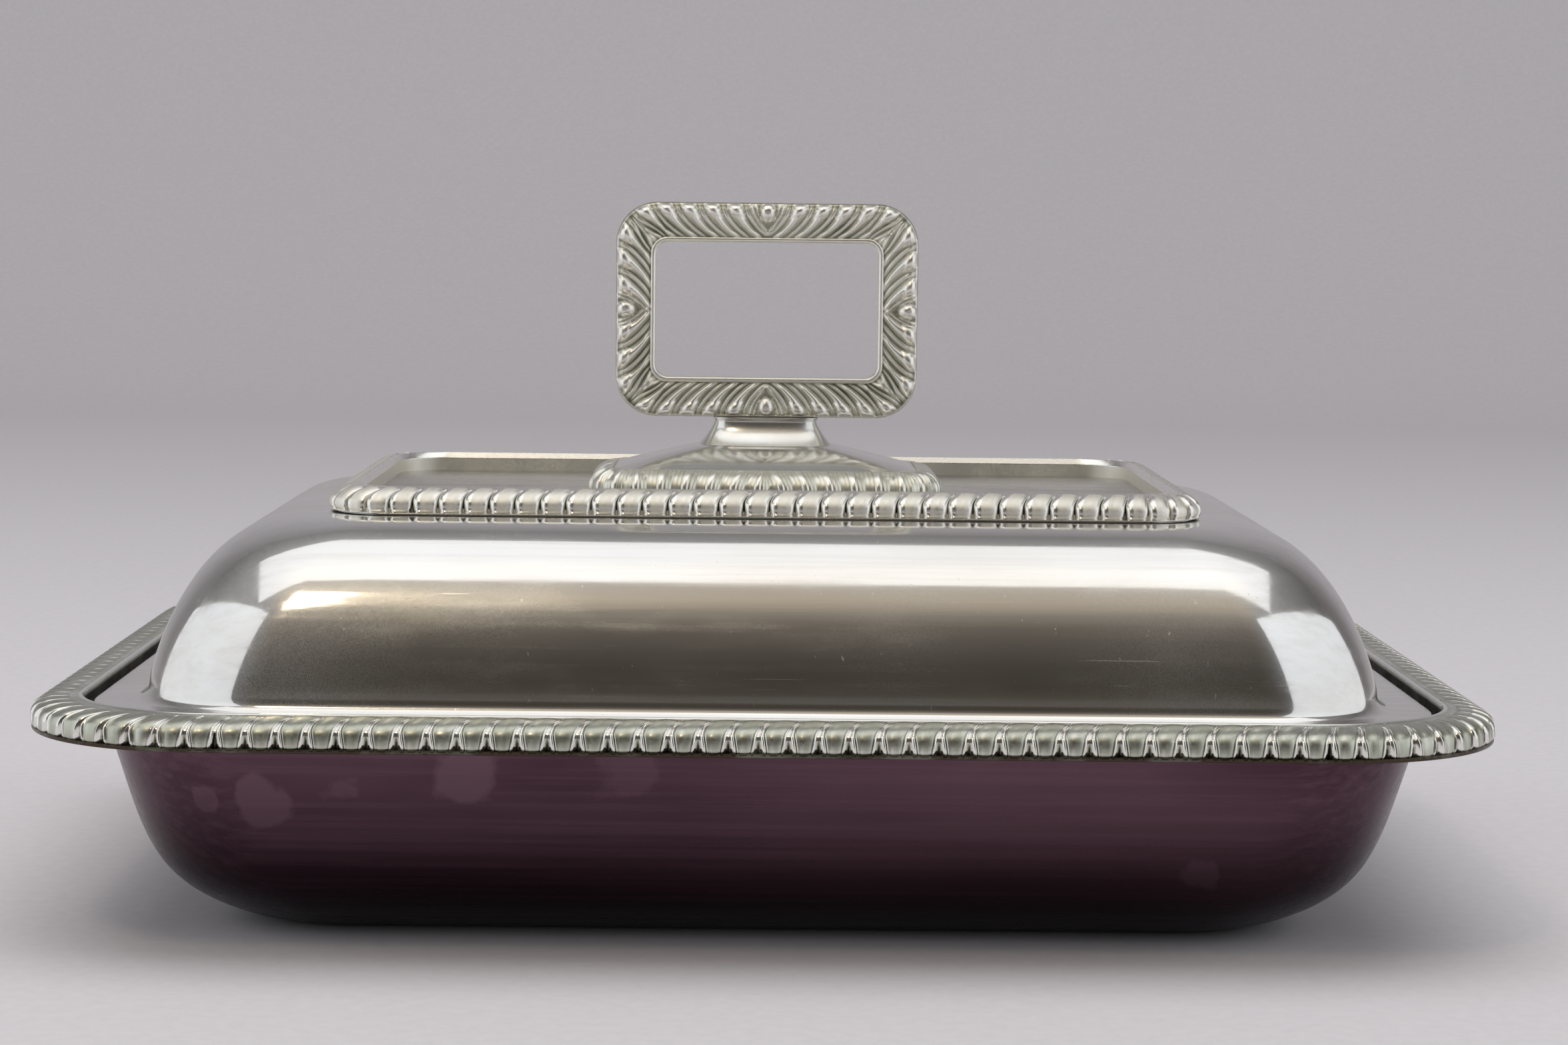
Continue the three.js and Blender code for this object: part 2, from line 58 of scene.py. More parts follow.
def addCamera(view):
    # Looks down by pitch, to +X by yaw, and is tipped by roll
    pitch, yaw, roll = (math.radians(view[part]) for part in ("pitch", "yaw", "roll"))
    ahead = np.array([math.sin(yaw) * math.cos(pitch), math.cos(yaw) * math.cos(pitch), -math.sin(pitch)])
    level = np.cross(ahead, [0, 0, 1])
    level /= np.linalg.norm(level)
    upright = np.cross(level, ahead)
    right = level * math.cos(roll) + upright * math.sin(roll)
    top = upright * math.cos(roll) - level * math.sin(roll)
    camera = bpy.data.objects.new("camera", bpy.data.cameras.new("camera"))
    bpy.context.scene.collection.objects.link(camera)
    camera.data.lens = view["lens"]
    camera.data.sensor_width = view["sensor"]
    camera.matrix_world = facing([right, top, -ahead], np.array(view["place"]) * mm)
    bpy.context.scene.camera = camera


addCamera(cameraView)


# Meshes from arrays of points
def roundRect(halfX, halfY, radius, arcSteps, sideSteps):
    # One ring per row: four quarter circles joined by straight sides, from the right-hand end of
    # the back right corner round by the left. The two numbers of side steps are for the back and
    # front and for the ends.
    halfX, halfY, radius = (np.atleast_1d(size).astype(float)[:, None] for size in (halfX, halfY, radius))
    corners = []
    for quarter, (signX, signY) in enumerate(((1, 1), (-1, 1), (-1, -1), (1, -1))):
        turn = (quarter + np.linspace(0, 1, arcSteps + 1)) * math.pi / 2
        x = signX * (halfX - radius) + radius * np.cos(turn)
        y = signY * (halfY - radius) + radius * np.sin(turn)
        corners.append(np.stack([x, y], axis=-1))
    parts = []
    for quarter, corner in enumerate(corners):
        steps = sideSteps[quarter % 2]
        share = (np.arange(1, steps) / steps)[:, None]
        last, following = corner[:, -1:], corners[(quarter + 1) % 4][:, :1]
        parts += [corner, last + (following - last) * share]
    return np.concatenate(parts, axis=1)


def atHeight(outline, height):
    # Rows of points in plan, lifted to one height per row or per point
    level = np.broadcast_to(height[..., None], outline.shape[:2] + (1,))
    return np.concatenate([outline, level], axis=-1)


def gridFaces(rows, columns, wrapRows, wrapColumns):
    # Four-cornered faces between neighbouring rows and columns of a grid of points
    row = np.arange(rows if wrapRows else rows - 1)[:, None]
    column = np.arange(columns if wrapColumns else columns - 1)[None, :]
    nextRow, nextColumn = (row + 1) % rows, (column + 1) % columns
    corners = [row * columns + column, row * columns + nextColumn, nextRow * columns + nextColumn]
    return np.stack(corners + [nextRow * columns + column], axis=-1).reshape(-1, 4)


def fanFaces(centre, ring):
    # Triangles from one point to each neighbouring pair of a closed ring
    return np.stack([np.full(len(ring), centre), ring, np.roll(ring, -1)], axis=-1)


def closedByFans(rings, firstHeight, lastHeight):
    # Points and faces of rings whose first and last are each closed round a point on the axis
    rows, columns = rings.shape[:2]
    points = np.concatenate([rings.reshape(-1, 3), [[0, 0, firstHeight], [0, 0, lastHeight]]])
    ring = np.arange(columns)
    return points, [gridFaces(rows, columns, False, True), fanFaces(rows * columns, ring)[:, ::-1],
                    fanFaces(rows * columns + 1, ring + (rows - 1) * columns)]


def enclosedVolume(points, faceGroups):
    # Sum of the signed volumes between the origin and every face, below zero if faces point in
    total = 0.0
    for faces in faceGroups:
        first = points[faces[:, 0]]
        for step in range(1, faces.shape[1] - 1):
            cross = np.cross(points[faces[:, step]], points[faces[:, step + 1]])
            total += float((first * cross).sum())
    return total


def addPiece(name, points, faceGroups, look, values=None):
    # Puts a closed skin into a mesh, turned to face outward, and hangs it on its body. Edges
    # sharper than the look's angle stay sharp, and values go to the points as attributes.
    points = np.asarray(points, float).reshape(-1, 3)
    if enclosedVolume(points, faceGroups) < 0:
        faceGroups = [faces[:, ::-1] for faces in faceGroups]
    mesh = bpy.data.meshes.new(name)
    mesh.vertices.add(len(points))
    mesh.vertices.foreach_set("co", (points * mm).astype(np.float32).ravel())
    sizes = np.concatenate([np.full(len(faces), faces.shape[1]) for faces in faceGroups])
    mesh.loops.add(int(sizes.sum()))
    corners = np.concatenate([faces.ravel() for faces in faceGroups])
    mesh.loops.foreach_set("vertex_index", corners.astype(np.int32))
    mesh.polygons.add(len(sizes))
    starts = np.concatenate([[0], np.cumsum(sizes)[:-1]])
    mesh.polygons.foreach_set("loop_start", starts.astype(np.int32))
    mesh.polygons.foreach_set("use_smooth", np.ones(len(sizes), bool))
    mesh.update(calc_edges=True)
    mesh.validate()
    for key, value in (values or {}).items():
        attribute = mesh.attributes.new(key, "FLOAT", "POINT")
        attribute.data.foreach_set("value", np.asarray(value, np.float32).ravel())
    mesh.set_sharp_from_angle(angle=math.radians(look["sharp"]))
    mesh.materials.append(look["material"])
    piece = bpy.data.objects.new(name, mesh)
    bpy.context.scene.collection.objects.link(piece)
    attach(piece, look["body"])
    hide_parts(look["replaces"])


def clamped(value, least=0.0):
    return np.clip(value, least, 1)


def evenly(profile, count):
    # The same line of points spaced evenly along its own length
    steps = np.hypot(np.diff(profile[:, 0]), np.diff(profile[:, 1]))
    run = np.concatenate([[0], np.cumsum(steps)])
    place = np.linspace(0, run[-1], count)
    return np.stack([np.interp(place, run, profile[:, part]) for part in range(profile.shape[1])], axis=1)


def movedAside(profile, distance):
    # The profile of half length, height and corner radius moved along the mitre of its lines
    leastRadius = 1.2
    step = np.diff(profile[:, :2], axis=0)
    length = np.hypot(step[:, 0], step[:, 1])
    normal = np.stack([-step[:, 1] / length, step[:, 0] / length], axis=1)
    ends = np.array([[0.0, 1.0]])
    normal = np.concatenate([ends, normal, ends])
    both = normal[:-1] + normal[1:]
    reach = distance * 2 / (both ** 2).sum(axis=1)
    moved = profile.copy()
    moved[:, 0] += reach * both[:, 0]
    moved[:, 1] += reach * both[:, 1]
    moved[:, 2] = np.maximum(profile[:, 2] + reach * both[:, 0], leastRadius)
    return moved


def loftRings(profile, shorter, arcSteps, sideSteps):
    # Level rings of the profile's half length, height and corner radius
    outline = roundRect(profile[:, 0], profile[:, 0] - shorter, profile[:, 2], arcSteps, sideSteps)
    return atHeight(outline, profile[:, 1:2])


# Finishes, all procedural. A look gives each noise as grains per metre along X, Y and Z, turns
# in degrees, detail and roughness; each range as two values and what they become; colours as
# red, green and blue; and the bump as its strength and its depth in metres.
def newFinish(name, metallic=1.0):
    finish = bpy.data.materials.new(name)
    finish.use_nodes = True
    tree = finish.node_tree
    shader = tree.nodes["Principled BSDF"]
    shader.inputs["Metallic"].default_value = metallic
    return finish, tree, shader


def addNode(tree, kind, settings=None, inputs=None):
    node = tree.nodes.new(kind)
    for key, value in (settings or {}).items():
        setattr(node, key, value)
    for key, value in (inputs or {}).items():
        if isinstance(value, bpy.types.NodeSocket):
            tree.links.new(value, node.inputs[key])
        else:
            node.inputs[key].default_value = value
    return node


def objectPlace(tree):
    return addNode(tree, "ShaderNodeTexCoord").outputs["Object"]


def objectHeight(tree):
    return addNode(tree, "ShaderNodeSeparateXYZ", None, {"Vector": objectPlace(tree)}).outputs["Z"]


def pointValue(tree, name):
    return addNode(tree, "ShaderNodeAttribute", {"attribute_name": name}).outputs["Fac"]


def stretchedNoise(tree, spread, turn, detail, lift=0.5):
    turned = [math.radians(angle) for angle in turn]
    mapping = addNode(tree, "ShaderNodeMapping", None, {
        "Vector": objectPlace(tree), "Rotation": turned, "Scale": spread})
    noise = addNode(tree, "ShaderNodeTexNoise", None, {
        "Vector": mapping.outputs["Vector"], "Scale": 1.0, "Detail": detail, "Roughness": lift})
    return noise.outputs["Fac"]


def noises(tree, look, *names):
    return [stretchedNoise(tree, *look[name]) for name in names]


def toRange(tree, value, span):
    low, high, newLow, newHigh = span
    ranged = addNode(tree, "ShaderNodeMapRange", {"clamp": True}, {
        "Value": value, "From Min": low, "From Max": high, "To Min": newLow, "To Max": newHigh})
    return ranged.outputs["Result"]


def toRanges(tree, look, **values):
    # Each value through the look's range of that name
    return [toRange(tree, value, look[name]) for name, value in values.items()]


def blendColours(tree, share, first, second):
    # A colour mix takes its share on socket 0 and its colours on sockets 6 and 7
    sockets = {0: share, 6: first, 7: second}
    opaque = {key: (*value, 1) if isinstance(value, tuple) else value for key, value in sockets.items()}
    return addNode(tree, "ShaderNodeMix", {"data_type": "RGBA"}, opaque).outputs[2]


def joinValues(tree, kind, first, *others):
    # Adds, multiplies or compares values one after another
    for other in others:
        first = addNode(tree, "ShaderNodeMath", {"operation": kind}, {0: first, 1: other}).outputs[0]
    return first


def linkSurface(tree, shader, look, tint, rough, relief):
    strength, depth = look["bump"]
    bump = addNode(tree, "ShaderNodeBump", None, {"Strength": strength, "Distance": depth, "Height": relief})
    tree.links.new(tint, shader.inputs["Base Color"])
    tree.links.new(rough, shader.inputs["Roughness"])
    tree.links.new(bump.outputs["Normal"], shader.inputs["Normal"])


raggedEdge = {"wobble": ((110, 110, 110), (0, 0, 0), 4), "shift": (0.25, 0.75, -0.0028, 0.0028)}


def roundPatches(tree, spots, full, gone):
    # The strongest of the round patches, each of a centre, radius and strength, fading between
    # two shares of its radius over a slightly ragged edge
    place = objectPlace(tree)
    wobble = toRange(tree, noises(tree, raggedEdge, "wobble")[0], raggedEdge["shift"])
    patches = []
    for centre, radius, strength in spots:
        away = addNode(tree, "ShaderNodeVectorMath", {"operation": "DISTANCE"}, {
            0: place, 1: tuple(part * mm for part in centre)}).outputs["Value"]
        away = joinValues(tree, "ADD", away, wobble)
        patches.append(toRange(tree, away, (radius * mm * full, radius * mm * gone, strength, 0)))
    return joinValues(tree, "MAXIMUM", *patches)


coverLook = {
    "facets": ((30000, 30000, 30000), (0, 0, 0), 0), "streaks": ((10, 420, 420), (0, -0.8, 0), 5, 0.6),
    "clouds": ((14, 26, 34), (10, 0, 20), 4), "smears": ((28, 60, 120), (0, 12, 0), 5, 0.6),
    "hairs": ((32, 1300, 1300), (0, 9, 5), 2), "crossHairs": ((1100, 1100, 45), (0, 35, 12), 2),
    "specks": ((420, 420, 420), (20, 30, 0), 2),
    "hairDepth": (0.72, 0.77, 0, 0.7), "crossHairDepth": (0.73, 0.78, 0, 0.8),
    "speckDepth": (0.77, 0.8, 0, 1),
    "facetRough": (0.52, 0.6, 0.05, 0.17), "cloudRough": (0.45, 0.75, 0.0, 0.06),
    "smearRough": (0.5, 0.75, 0.0, 0.1), "streakRough": (0.5, 0.75, 0.0, 0.1), "markRough": 0.25,
    "sunkFrom": (0.0878, 0.0883, 0, 1), "sunkRough": 0.16, "sunkShare": 0.75,
    "hazeFade": (0.1, 1.2), "hazeRough": (0.6, 0.64, 0, 0.5),
    "cloudTint": (0.42, 0.7, 0, 1), "streakTint": (0.42, 0.75, 0, 0.35),
    "bright": (0.85, 0.85, 0.845), "warm": (0.79, 0.77, 0.74), "streaked": (0.66, 0.63, 0.59),
    "sunk": (0.42, 0.4, 0.36), "markRelief": 0.8, "bump": (0.03, 0.0003),
    "haze": (
        ((-104, -84, 62), 34, 0.8), ((-60, -86, 74), 22, 0.3), ((84, -88, 58), 26, 0.35),
        ((30, -88, 62), 18, 0.2), ((70, 88, 66), 30, 0.5), ((-120, 10, 66), 26, 0.4),
        ((118, -30, 70), 22, 0.4)),
}


def coverFinish(look):
    # Bright plate whose fine facets differ in roughness, with polishing streaks along the length,
    # cloudy wipe marks, hair and cross scratches and small specks. In the haze a share of the
    # facets is much rougher. The sunk top is duller and darker.
    finish, tree, shader = newFinish("bright plate")
    facets, streaks, clouds, smears = noises(tree, look, "facets", "streaks", "clouds", "smears")
    hairs, crossHairs, specks = noises(tree, look, "hairs", "crossHairs", "specks")
    marks = joinValues(tree, "MAXIMUM", *toRanges(
        tree, look, hairDepth=hairs, crossHairDepth=crossHairs, speckDepth=specks))
    sunk = toRange(tree, objectHeight(tree), look["sunkFrom"])
    hazy = roundPatches(tree, look["haze"], *look["hazeFade"])
    rough = toRanges(tree, look, facetRough=facets, cloudRough=clouds, smearRough=smears, streakRough=streaks)
    for mask, share in ((marks, look["markRough"]), (sunk, look["sunkRough"]),
                        (hazy, toRange(tree, facets, look["hazeRough"]))):
        rough.append(joinValues(tree, "MULTIPLY", mask, share))
    rough = joinValues(tree, "ADD", *rough)
    tint = blendColours(tree, toRange(tree, clouds, look["cloudTint"]), look["bright"], look["warm"])
    tint = blendColours(tree, toRange(tree, streaks, look["streakTint"]), tint, look["streaked"])
    tint = blendColours(tree, joinValues(tree, "MULTIPLY", sunk, look["sunkShare"]), tint, look["sunk"])
    relief = joinValues(tree, "SUBTRACT", streaks, joinValues(tree, "MULTIPLY", marks, look["markRelief"]))
    linkSurface(tree, shader, look, tint, rough, relief)
    return finish


smoothLook = {
    "facets": ((30000, 30000, 30000), (0, 0, 0), 0), "clouds": ((55, 70, 90), (0, 0, 30), 4),
    "hairs": ((150, 1500, 1500), (0, 12, 25), 2), "hairDepth": (0.68, 0.74, 0, 1), "hairRough": 0.12,
    "facetFrom": (0.5, 0.62), "facetSpread": 0.16, "cloudRough": (0.4, 0.7, 0, 0.08),
    "cloudTint": (0.4, 0.7, 0, 1), "bright": (0.86, 0.86, 0.84), "warm": (0.76, 0.75, 0.71),
    "bump": (0.05, 0.0002),
}


def smoothFinish(name, look, least):
    # Bright plate without the long streaks, rough from the least upward: soft cloudy wear and
    # a few hairs
    finish, tree, shader = newFinish(name)
    facets, clouds, hairs = noises(tree, look, "facets", "clouds", "hairs")
    hairs = toRange(tree, hairs, look["hairDepth"])
    rough = joinValues(
        tree, "ADD", toRange(tree, facets, (*look["facetFrom"], least, least + look["facetSpread"])),
        toRange(tree, clouds, look["cloudRough"]), joinValues(tree, "MULTIPLY", hairs, look["hairRough"]))
    tint = blendColours(tree, toRange(tree, clouds, look["cloudTint"]), look["bright"], look["warm"])
    linkSurface(tree, shader, look, tint, rough, hairs)
    return finish


panLook = {
    "streaks": ((8, 520, 520), (0, 0.5, 0), 6, 0.62), "clouds": ((9, 26, 30), (0, 4, 0), 4),
    # the plum colours are partly tarnish and partly a painted reflection of the dim purple room
    "darkPlum": (0.072, 0.037, 0.053), "plum": (0.13, 0.072, 0.092), "streakedPlum": (0.18, 0.102, 0.13),
    # base is a painted shade colour, laid on by height toward the bottom of the pan
    "handledPlum": (0.26, 0.158, 0.2), "base": (0.01, 0.005, 0.008), "plumTint": (0.38, 0.66, 0, 1),
    "streakTint": (0.45, 0.75, 0, 0.6), "paintedShadeByHeight": (0.002, 0.041, 0.92, 0), "handledShare": 0.6,
    "bright": (0.84, 0.83, 0.8), "warm": (0.72, 0.7, 0.65), "brightTint": (0.4, 0.7, 0, 1),
    # the near-black ledge colour is painted shade in the gap beside the cover's flange
    "tarnishAndShadeColour": (0.02, 0.017, 0.014), "streakRough": (0.3, 0.7, 0.2, 0.34), "handledRough": 0.2,
    "bump": (0.08, 0.0005), "handledFade": (0.86, 1.08),
    "handled": (
        ((-61.5, -103, 37.5), 7.4, 0.65), ((-103, -100, 31), 6.0, 0.6), ((-113.5, -98, 23.5), 2.8, 0.6),
        ((-114, -98, 30), 3.4, 0.5), ((-29, -104, 38), 7.0, 0.3), ((90, -97, 16), 5.2, 0.6),
        ((72, -101, 30), 4.2, 0.35), ((-86, -103, 34), 4.5, 0.35), ((8, -104, 27), 4.0, 0.3),
        ((60, 101, 30), 6.5, 0.6), ((-80, 102, 24), 5.0, 0.5), ((136, 30, 28), 6.0, 0.5),
        ((-136, -20, 30), 5.5, 0.5)),
}


def panFinish(look):
    # Satin plate, dull and plum-brown outside, the plum partly tarnish and partly a painted
    # reflection of the dim purple room, darker toward the base as painted shade for the shaded
    # floor it reflects there, with round patches where it has been handled
    finish, tree, shader = newFinish("satin plate")
    streaks, clouds = noises(tree, look, "streaks", "clouds")
    handled = roundPatches(tree, look["handled"], *look["handledFade"])
    plum = blendColours(tree, toRange(tree, clouds, look["plumTint"]), look["darkPlum"], look["plum"])
    plum = blendColours(tree, toRange(tree, streaks, look["streakTint"]), plum, look["streakedPlum"])
    share = joinValues(tree, "MULTIPLY", handled, look["handledShare"])
    plum = blendColours(tree, share, plum, look["handledPlum"])
    # painted shade: darker toward the base, standing in for the shaded floor the wall reflects there
    plum = blendColours(tree, toRange(tree, objectHeight(tree), look["paintedShadeByHeight"]), plum, look["base"])
    bright = blendColours(tree, toRange(tree, clouds, look["brightTint"]), look["bright"], look["warm"])
    # painted shade: near black on the ledge's outer margin, in the gap beside the cover's flange
    bright = blendColours(tree, pointValue(tree, "tarnishAndPaintedShade"), bright, look["tarnishAndShadeColour"])
    tint = blendColours(tree, pointValue(tree, "outside"), bright, plum)
    rough = joinValues(tree, "ADD", toRange(tree, streaks, look["streakRough"]),
                       joinValues(tree, "MULTIPLY", handled, look["handledRough"]))
    linkSurface(tree, shader, look, tint, rough, streaks)
    return finish


ornamentLook = {
    "clouds": ((90, 90, 90), (0, 0, 0), 5), "grain": ((1500, 1500, 1500), (0, 0, 0), 3),
    "cloudShift": (0.35, 0.7, -0.1, 0.14), "tarnishFrom": (0.1, 0.5), "deepFrom": (0.58, 1.0, 0, 1),
    "grainRough": (0.4, 0.7, 0, 0.1), "bump": (0.05, 0.0002),
}
# each border's and the handle's own colours, and the roughness of its ribs and of its tarnish,
# whose colour also carries painted shade on the borders
gadroonLook = {"light": (0.88, 0.87, 0.83), "tarnishAndShadeColour": (0.52, 0.54, 0.46), "deep": (0.07, 0.055, 0.04),
               "rough": (0.12, 0.34)}
topLook = {"light": (0.93, 0.92, 0.88), "tarnishAndShadeColour": (0.9, 0.88, 0.8), "deep": (0.06, 0.065, 0.05),
           "rough": (0.22, 0.5)}
handleLook = {"light": (0.93, 0.92, 0.86), "tarnishAndShadeColour": (0.78, 0.78, 0.68), "deep": (0.14, 0.145, 0.105),
              "rough": (0.3, 0.42)}


def ornamentFinish(name, look):
    # Cast ornament: bright and smooth on ribs and flutes, grey-green and duller on the faces
    # between them, dark in the deepest hollows. On the gadroon borders the tarnish and deep
    # colours also paint shade on the inner walls, flute bottoms, lobe ends and steps.
    look = ornamentLook | look
    finish, tree, shader = newFinish(name)
    recess = pointValue(tree, "recess")
    clouds, grain = noises(tree, look, "clouds", "grain")
    tarnishAndShadeLevel = joinValues(tree, "ADD", recess, toRange(tree, clouds, look["cloudShift"]))
    tarnishAndPaintedShade = toRange(tree, tarnishAndShadeLevel, (*look["tarnishFrom"], 0, 1))
    tint = blendColours(tree, tarnishAndPaintedShade, look["light"], look["tarnishAndShadeColour"])
    tint = blendColours(tree, toRange(tree, tarnishAndShadeLevel, look["deepFrom"]), tint, look["deep"])
    rough = joinValues(tree, "ADD", toRange(tree, tarnishAndShadeLevel, (*look["tarnishFrom"], *look["rough"])),
                       toRange(tree, grain, look["grainRough"]))
    linkSurface(tree, shader, look, tint, rough, grain)
    return finish


fittingLook = {
    "clouds": ((120, 120, 120), (0, 0, 0), 5), "grain": ((1600, 1600, 300), (0, 0, 0), 3),
    "cloudTint": (0.35, 0.7, 0, 1), "yellow": (0.62, 0.5, 0.26), "brown": (0.36, 0.28, 0.15),
    "grainRough": (0.3, 0.7, 0.28, 0.45), "bump": (0.15, 0.0003),
}


def fittingFinish(look):
    # Yellow fitting metal, turned and dulled
    finish, tree, shader = newFinish("fitting metal")
    clouds, grain = noises(tree, look, "clouds", "grain")
    tint = blendColours(tree, toRange(tree, clouds, look["cloudTint"]), look["yellow"], look["brown"])
    linkSurface(tree, shader, look, tint, toRange(tree, grain, look["grainRough"]), grain)
    return finish


brightPlate = coverFinish(coverLook)
satinPlate = panFinish(panLook)
smoothPlate = smoothFinish("smooth plate", smoothLook, 0.08)
neckPlate = smoothFinish("neck plate", smoothLook, 0.16)
gadroonPlate = ornamentFinish("gadroon plate", gadroonLook)
topPlate = ornamentFinish("top border plate", topLook)
handlePlate = ornamentFinish("handle plate", handleLook)
fittingMetal = fittingFinish(fittingLook)
print("finishes ready")

# Gadroon borders. One lobe's columns from flute to flute: 1 if counted from the lobe's far end,
# share of the flute's half width and length beyond it, depth in the flute and on the face, and
# how dull
rimLobe = np.array([
    (0, 0.0, 0.0, 1.0, 0.0, 0.0), (0, 0.5, 0.0, 0.5, 0.0, 0.0), (0, 1.0, 0.0, 0.0, 0.0, 0.0),
    (0, 1.0, 0.045, 0.0, 0.03, 0.05), (0, 1.0, 0.08, 0.0, 0.34, 0.75), (0, 1.0, 0.115, 0.0, 0.1, 0.1),
    (0, 1.0, 0.15, 0.0, 0.26, 0.6), (0, 0.0, 0.42, 0.0, 0.12, 0.4), (0, 0.0, 0.6, 0.0, 0.12, 0.56),
    (1, 1.0, 0.1, 0.0, 0.2, 0.4), (1, 1.0, 0.06, 0.0, 0.3, 0.75), (1, 1.0, 0.03, 0.0, 0.0, 0.05),
    (1, 1.0, 0.0, 0.0, 0.0, 0.0), (1, 0.5, 0.0, 0.5, 0.0, 0.0)])
topLobe = np.array([
    (0, 0.0, 0.0, 1.0, 0.0, 1.0), (0, 1.0, 0.0, 0.2, 0.0, 0.6), (0, 1.0, 0.05, 0.0, 0.0, 0.0),
    (0, 0.0, 0.17, 0.0, -0.05, 0.0), (0, 0.0, 0.27, 0.0, 0.0, 0.0), (0, 0.0, 0.34, 0.0, 0.16, 0.45),
    (0, 0.0, 0.46, 0.0, 0.18, 0.5), (0, 0.0, 0.6, 0.0, 0.13, 0.42), (0, 0.0, 0.72, 0.0, 0.05, 0.5),
    (1, 1.0, 0.1, 0.0, 0.0, 0.2), (1, 1.0, 0.04, 0.0, 0.0, 0.1), (1, 1.0, 0.0, 0.2, 0.0, 0.6)])
footLobe = np.array([
    (0, 0.0, 0.0, 1.0, 0.0, 0.8), (0, 0.0, 0.05, 0.0, 0.12, 0.1), (0, 0.0, 0.13, 0.0, 0.0, 0.0),
    (0, 0.0, 0.21, 0.0, 0.0, 0.0), (0, 0.0, 0.28, 0.0, 0.14, 0.1), (0, 0.0, 0.34, 0.0, 0.6, 0.75),
    (0, 0.0, 0.42, 0.0, 0.22, 0.2), (0, 0.0, 0.5, 0.0, 0.52, 0.7), (0, 0.0, 0.58, 0.0, 0.2, 0.3),
    (0, 0.0, 0.66, 0.0, 0.5, 0.7), (0, 0.0, 0.75, 0.0, 0.2, 0.2), (0, 0.0, 0.84, 0.0, 0.5, 0.7),
    (0, 0.0, 0.92, 0.0, 0.22, 0.3)])

rimBorder = {
    "halfX": 153.5, "halfY": 116.0, "width": 10.5, "innerRadius": 32.0, "outerRadius": 40.0,
    "top": 51.0, "seat": 47.8, "bottom": 44.4, "land": 2.4, "drop": 4.4, "lip": 2.3, "step": 0.4,
    "fillet": 0.9, "bead": 0.42, "landDrop": 0.34, "lean": 2.6, "flute": 1.25, "start": 1.6, "face": 1.0,
    "roundness": 0.72, "climbFrom": 22, "arch": 0.3, "fluteWidth": 1.0, "peak": 0.5, "chamfer": None,
    "counts": (37, 11, 24, 11), "lobe": rimLobe,
    "shade": 1.0, "lipShade": 1.0, "landShade": 0.4, "wallPaintedShade": 0.95, "archLine": 0,
}
topBorder = {
    "halfX": 95.5, "halfY": 58.0, "width": 6.8, "innerRadius": 12.0, "outerRadius": 14.0,
    "top": 92.7, "seat": 88.4, "bottom": 87.2, "land": 2.0, "drop": 3.4, "lip": 1.3, "step": 0.3,
    "fillet": 0.35, "bead": 0.34, "landDrop": 0.42, "lean": 1.9, "flute": 0.6, "start": 0.7, "face": 0.8,
    "roundness": 1.2, "climbFrom": 25, "arch": 0.75, "fluteWidth": 0.4, "peak": 0.42, "chamfer": (0.85, 1.3),
    "counts": (28, 6, 14, 6), "lobe": topLobe,
    "shade": 1.0, "lipShade": 0.05, "landShade": 0.05, "wallPaintedShade": 0.45, "archLine": 0.7,
}
# what all three borders share: how flutes widen, lobes climb and end, and arches meet the land
lobeShape = {
    "fluteHalf": 0.035, "fluteTurned": 0.035, "fluteFallen": 0.13, "fluteShallow": 0.3,
    "faceFrom": 0.25, "faceShallow": 0.3, "archPower": 2.2, "climbPower": 1.6,
    "darkFrom": 0.45, "darkOver": 0.25, "landSlope": 1.1, "landPower": 1.3, "landEase": 0.1,
    "lineRise": 0.12, "lineHalf": 0.14, "endLeast": 0.3, "endMore": 0.5, "endPower": 4, "endFade": 0.5,
    "endTuck": 0.12, "tuckMost": 1.5, "edgeEase": 0.15, "beadShade": 0.05, "lipUnder": 0.5, "endShade": 0.9,
}
# A row of a section carries its angle on the lobe: 90 at the land, 0 where the lobe is widest
# and below 0 down to -1 on its lower end. Off the lobe it carries one of these marks.
wallMark, beadMark, landMark, stepMark, lipMark = 200, 150, 100, -20, -30
lobeAngles = (90, 85, 77, 68, 60, 52, 45, 38, 30, 21, 11, 0)
footAngles = (90, 84, 76, 68, 60, 52, 44, 36, 27, 18, 9, 0)
rowsBelowLobes = 5


def borderPath(border):
    # Lengths along the outer edge: a side, its corner, and so on round from the front's left end.
    # On a corner the edge is where a ray from the inner corner's centre meets it.
    samples = 241
    reach = border["innerRadius"] + border["width"]
    straight = reach - border["outerRadius"]
    turn = np.linspace(0, math.pi / 2, samples)
    larger = np.maximum(np.cos(turn), np.sin(turn))
    smaller = np.minimum(np.cos(turn), np.sin(turn))
    along = straight * (larger + smaller)
    onArc = along + np.sqrt(np.maximum(along ** 2 - 2 * straight ** 2 + border["outerRadius"] ** 2, 0))
    edge = np.where(reach * smaller <= straight * larger, reach / larger, onArc)
    step = np.hypot(np.diff(edge * np.cos(turn)), np.diff(edge * np.sin(turn)))
    run = np.concatenate([[0], np.cumsum(step)])
    straightX = border["halfX"] - reach
    straightY = border["halfY"] - reach
    lengths = np.array([2 * straightX, run[-1], 2 * straightY, run[-1]] * 2)
    return {"turn": turn, "edge": edge, "run": run, "straightX": straightX, "straightY": straightY,
            "starts": np.concatenate([[0], np.cumsum(lengths)])}


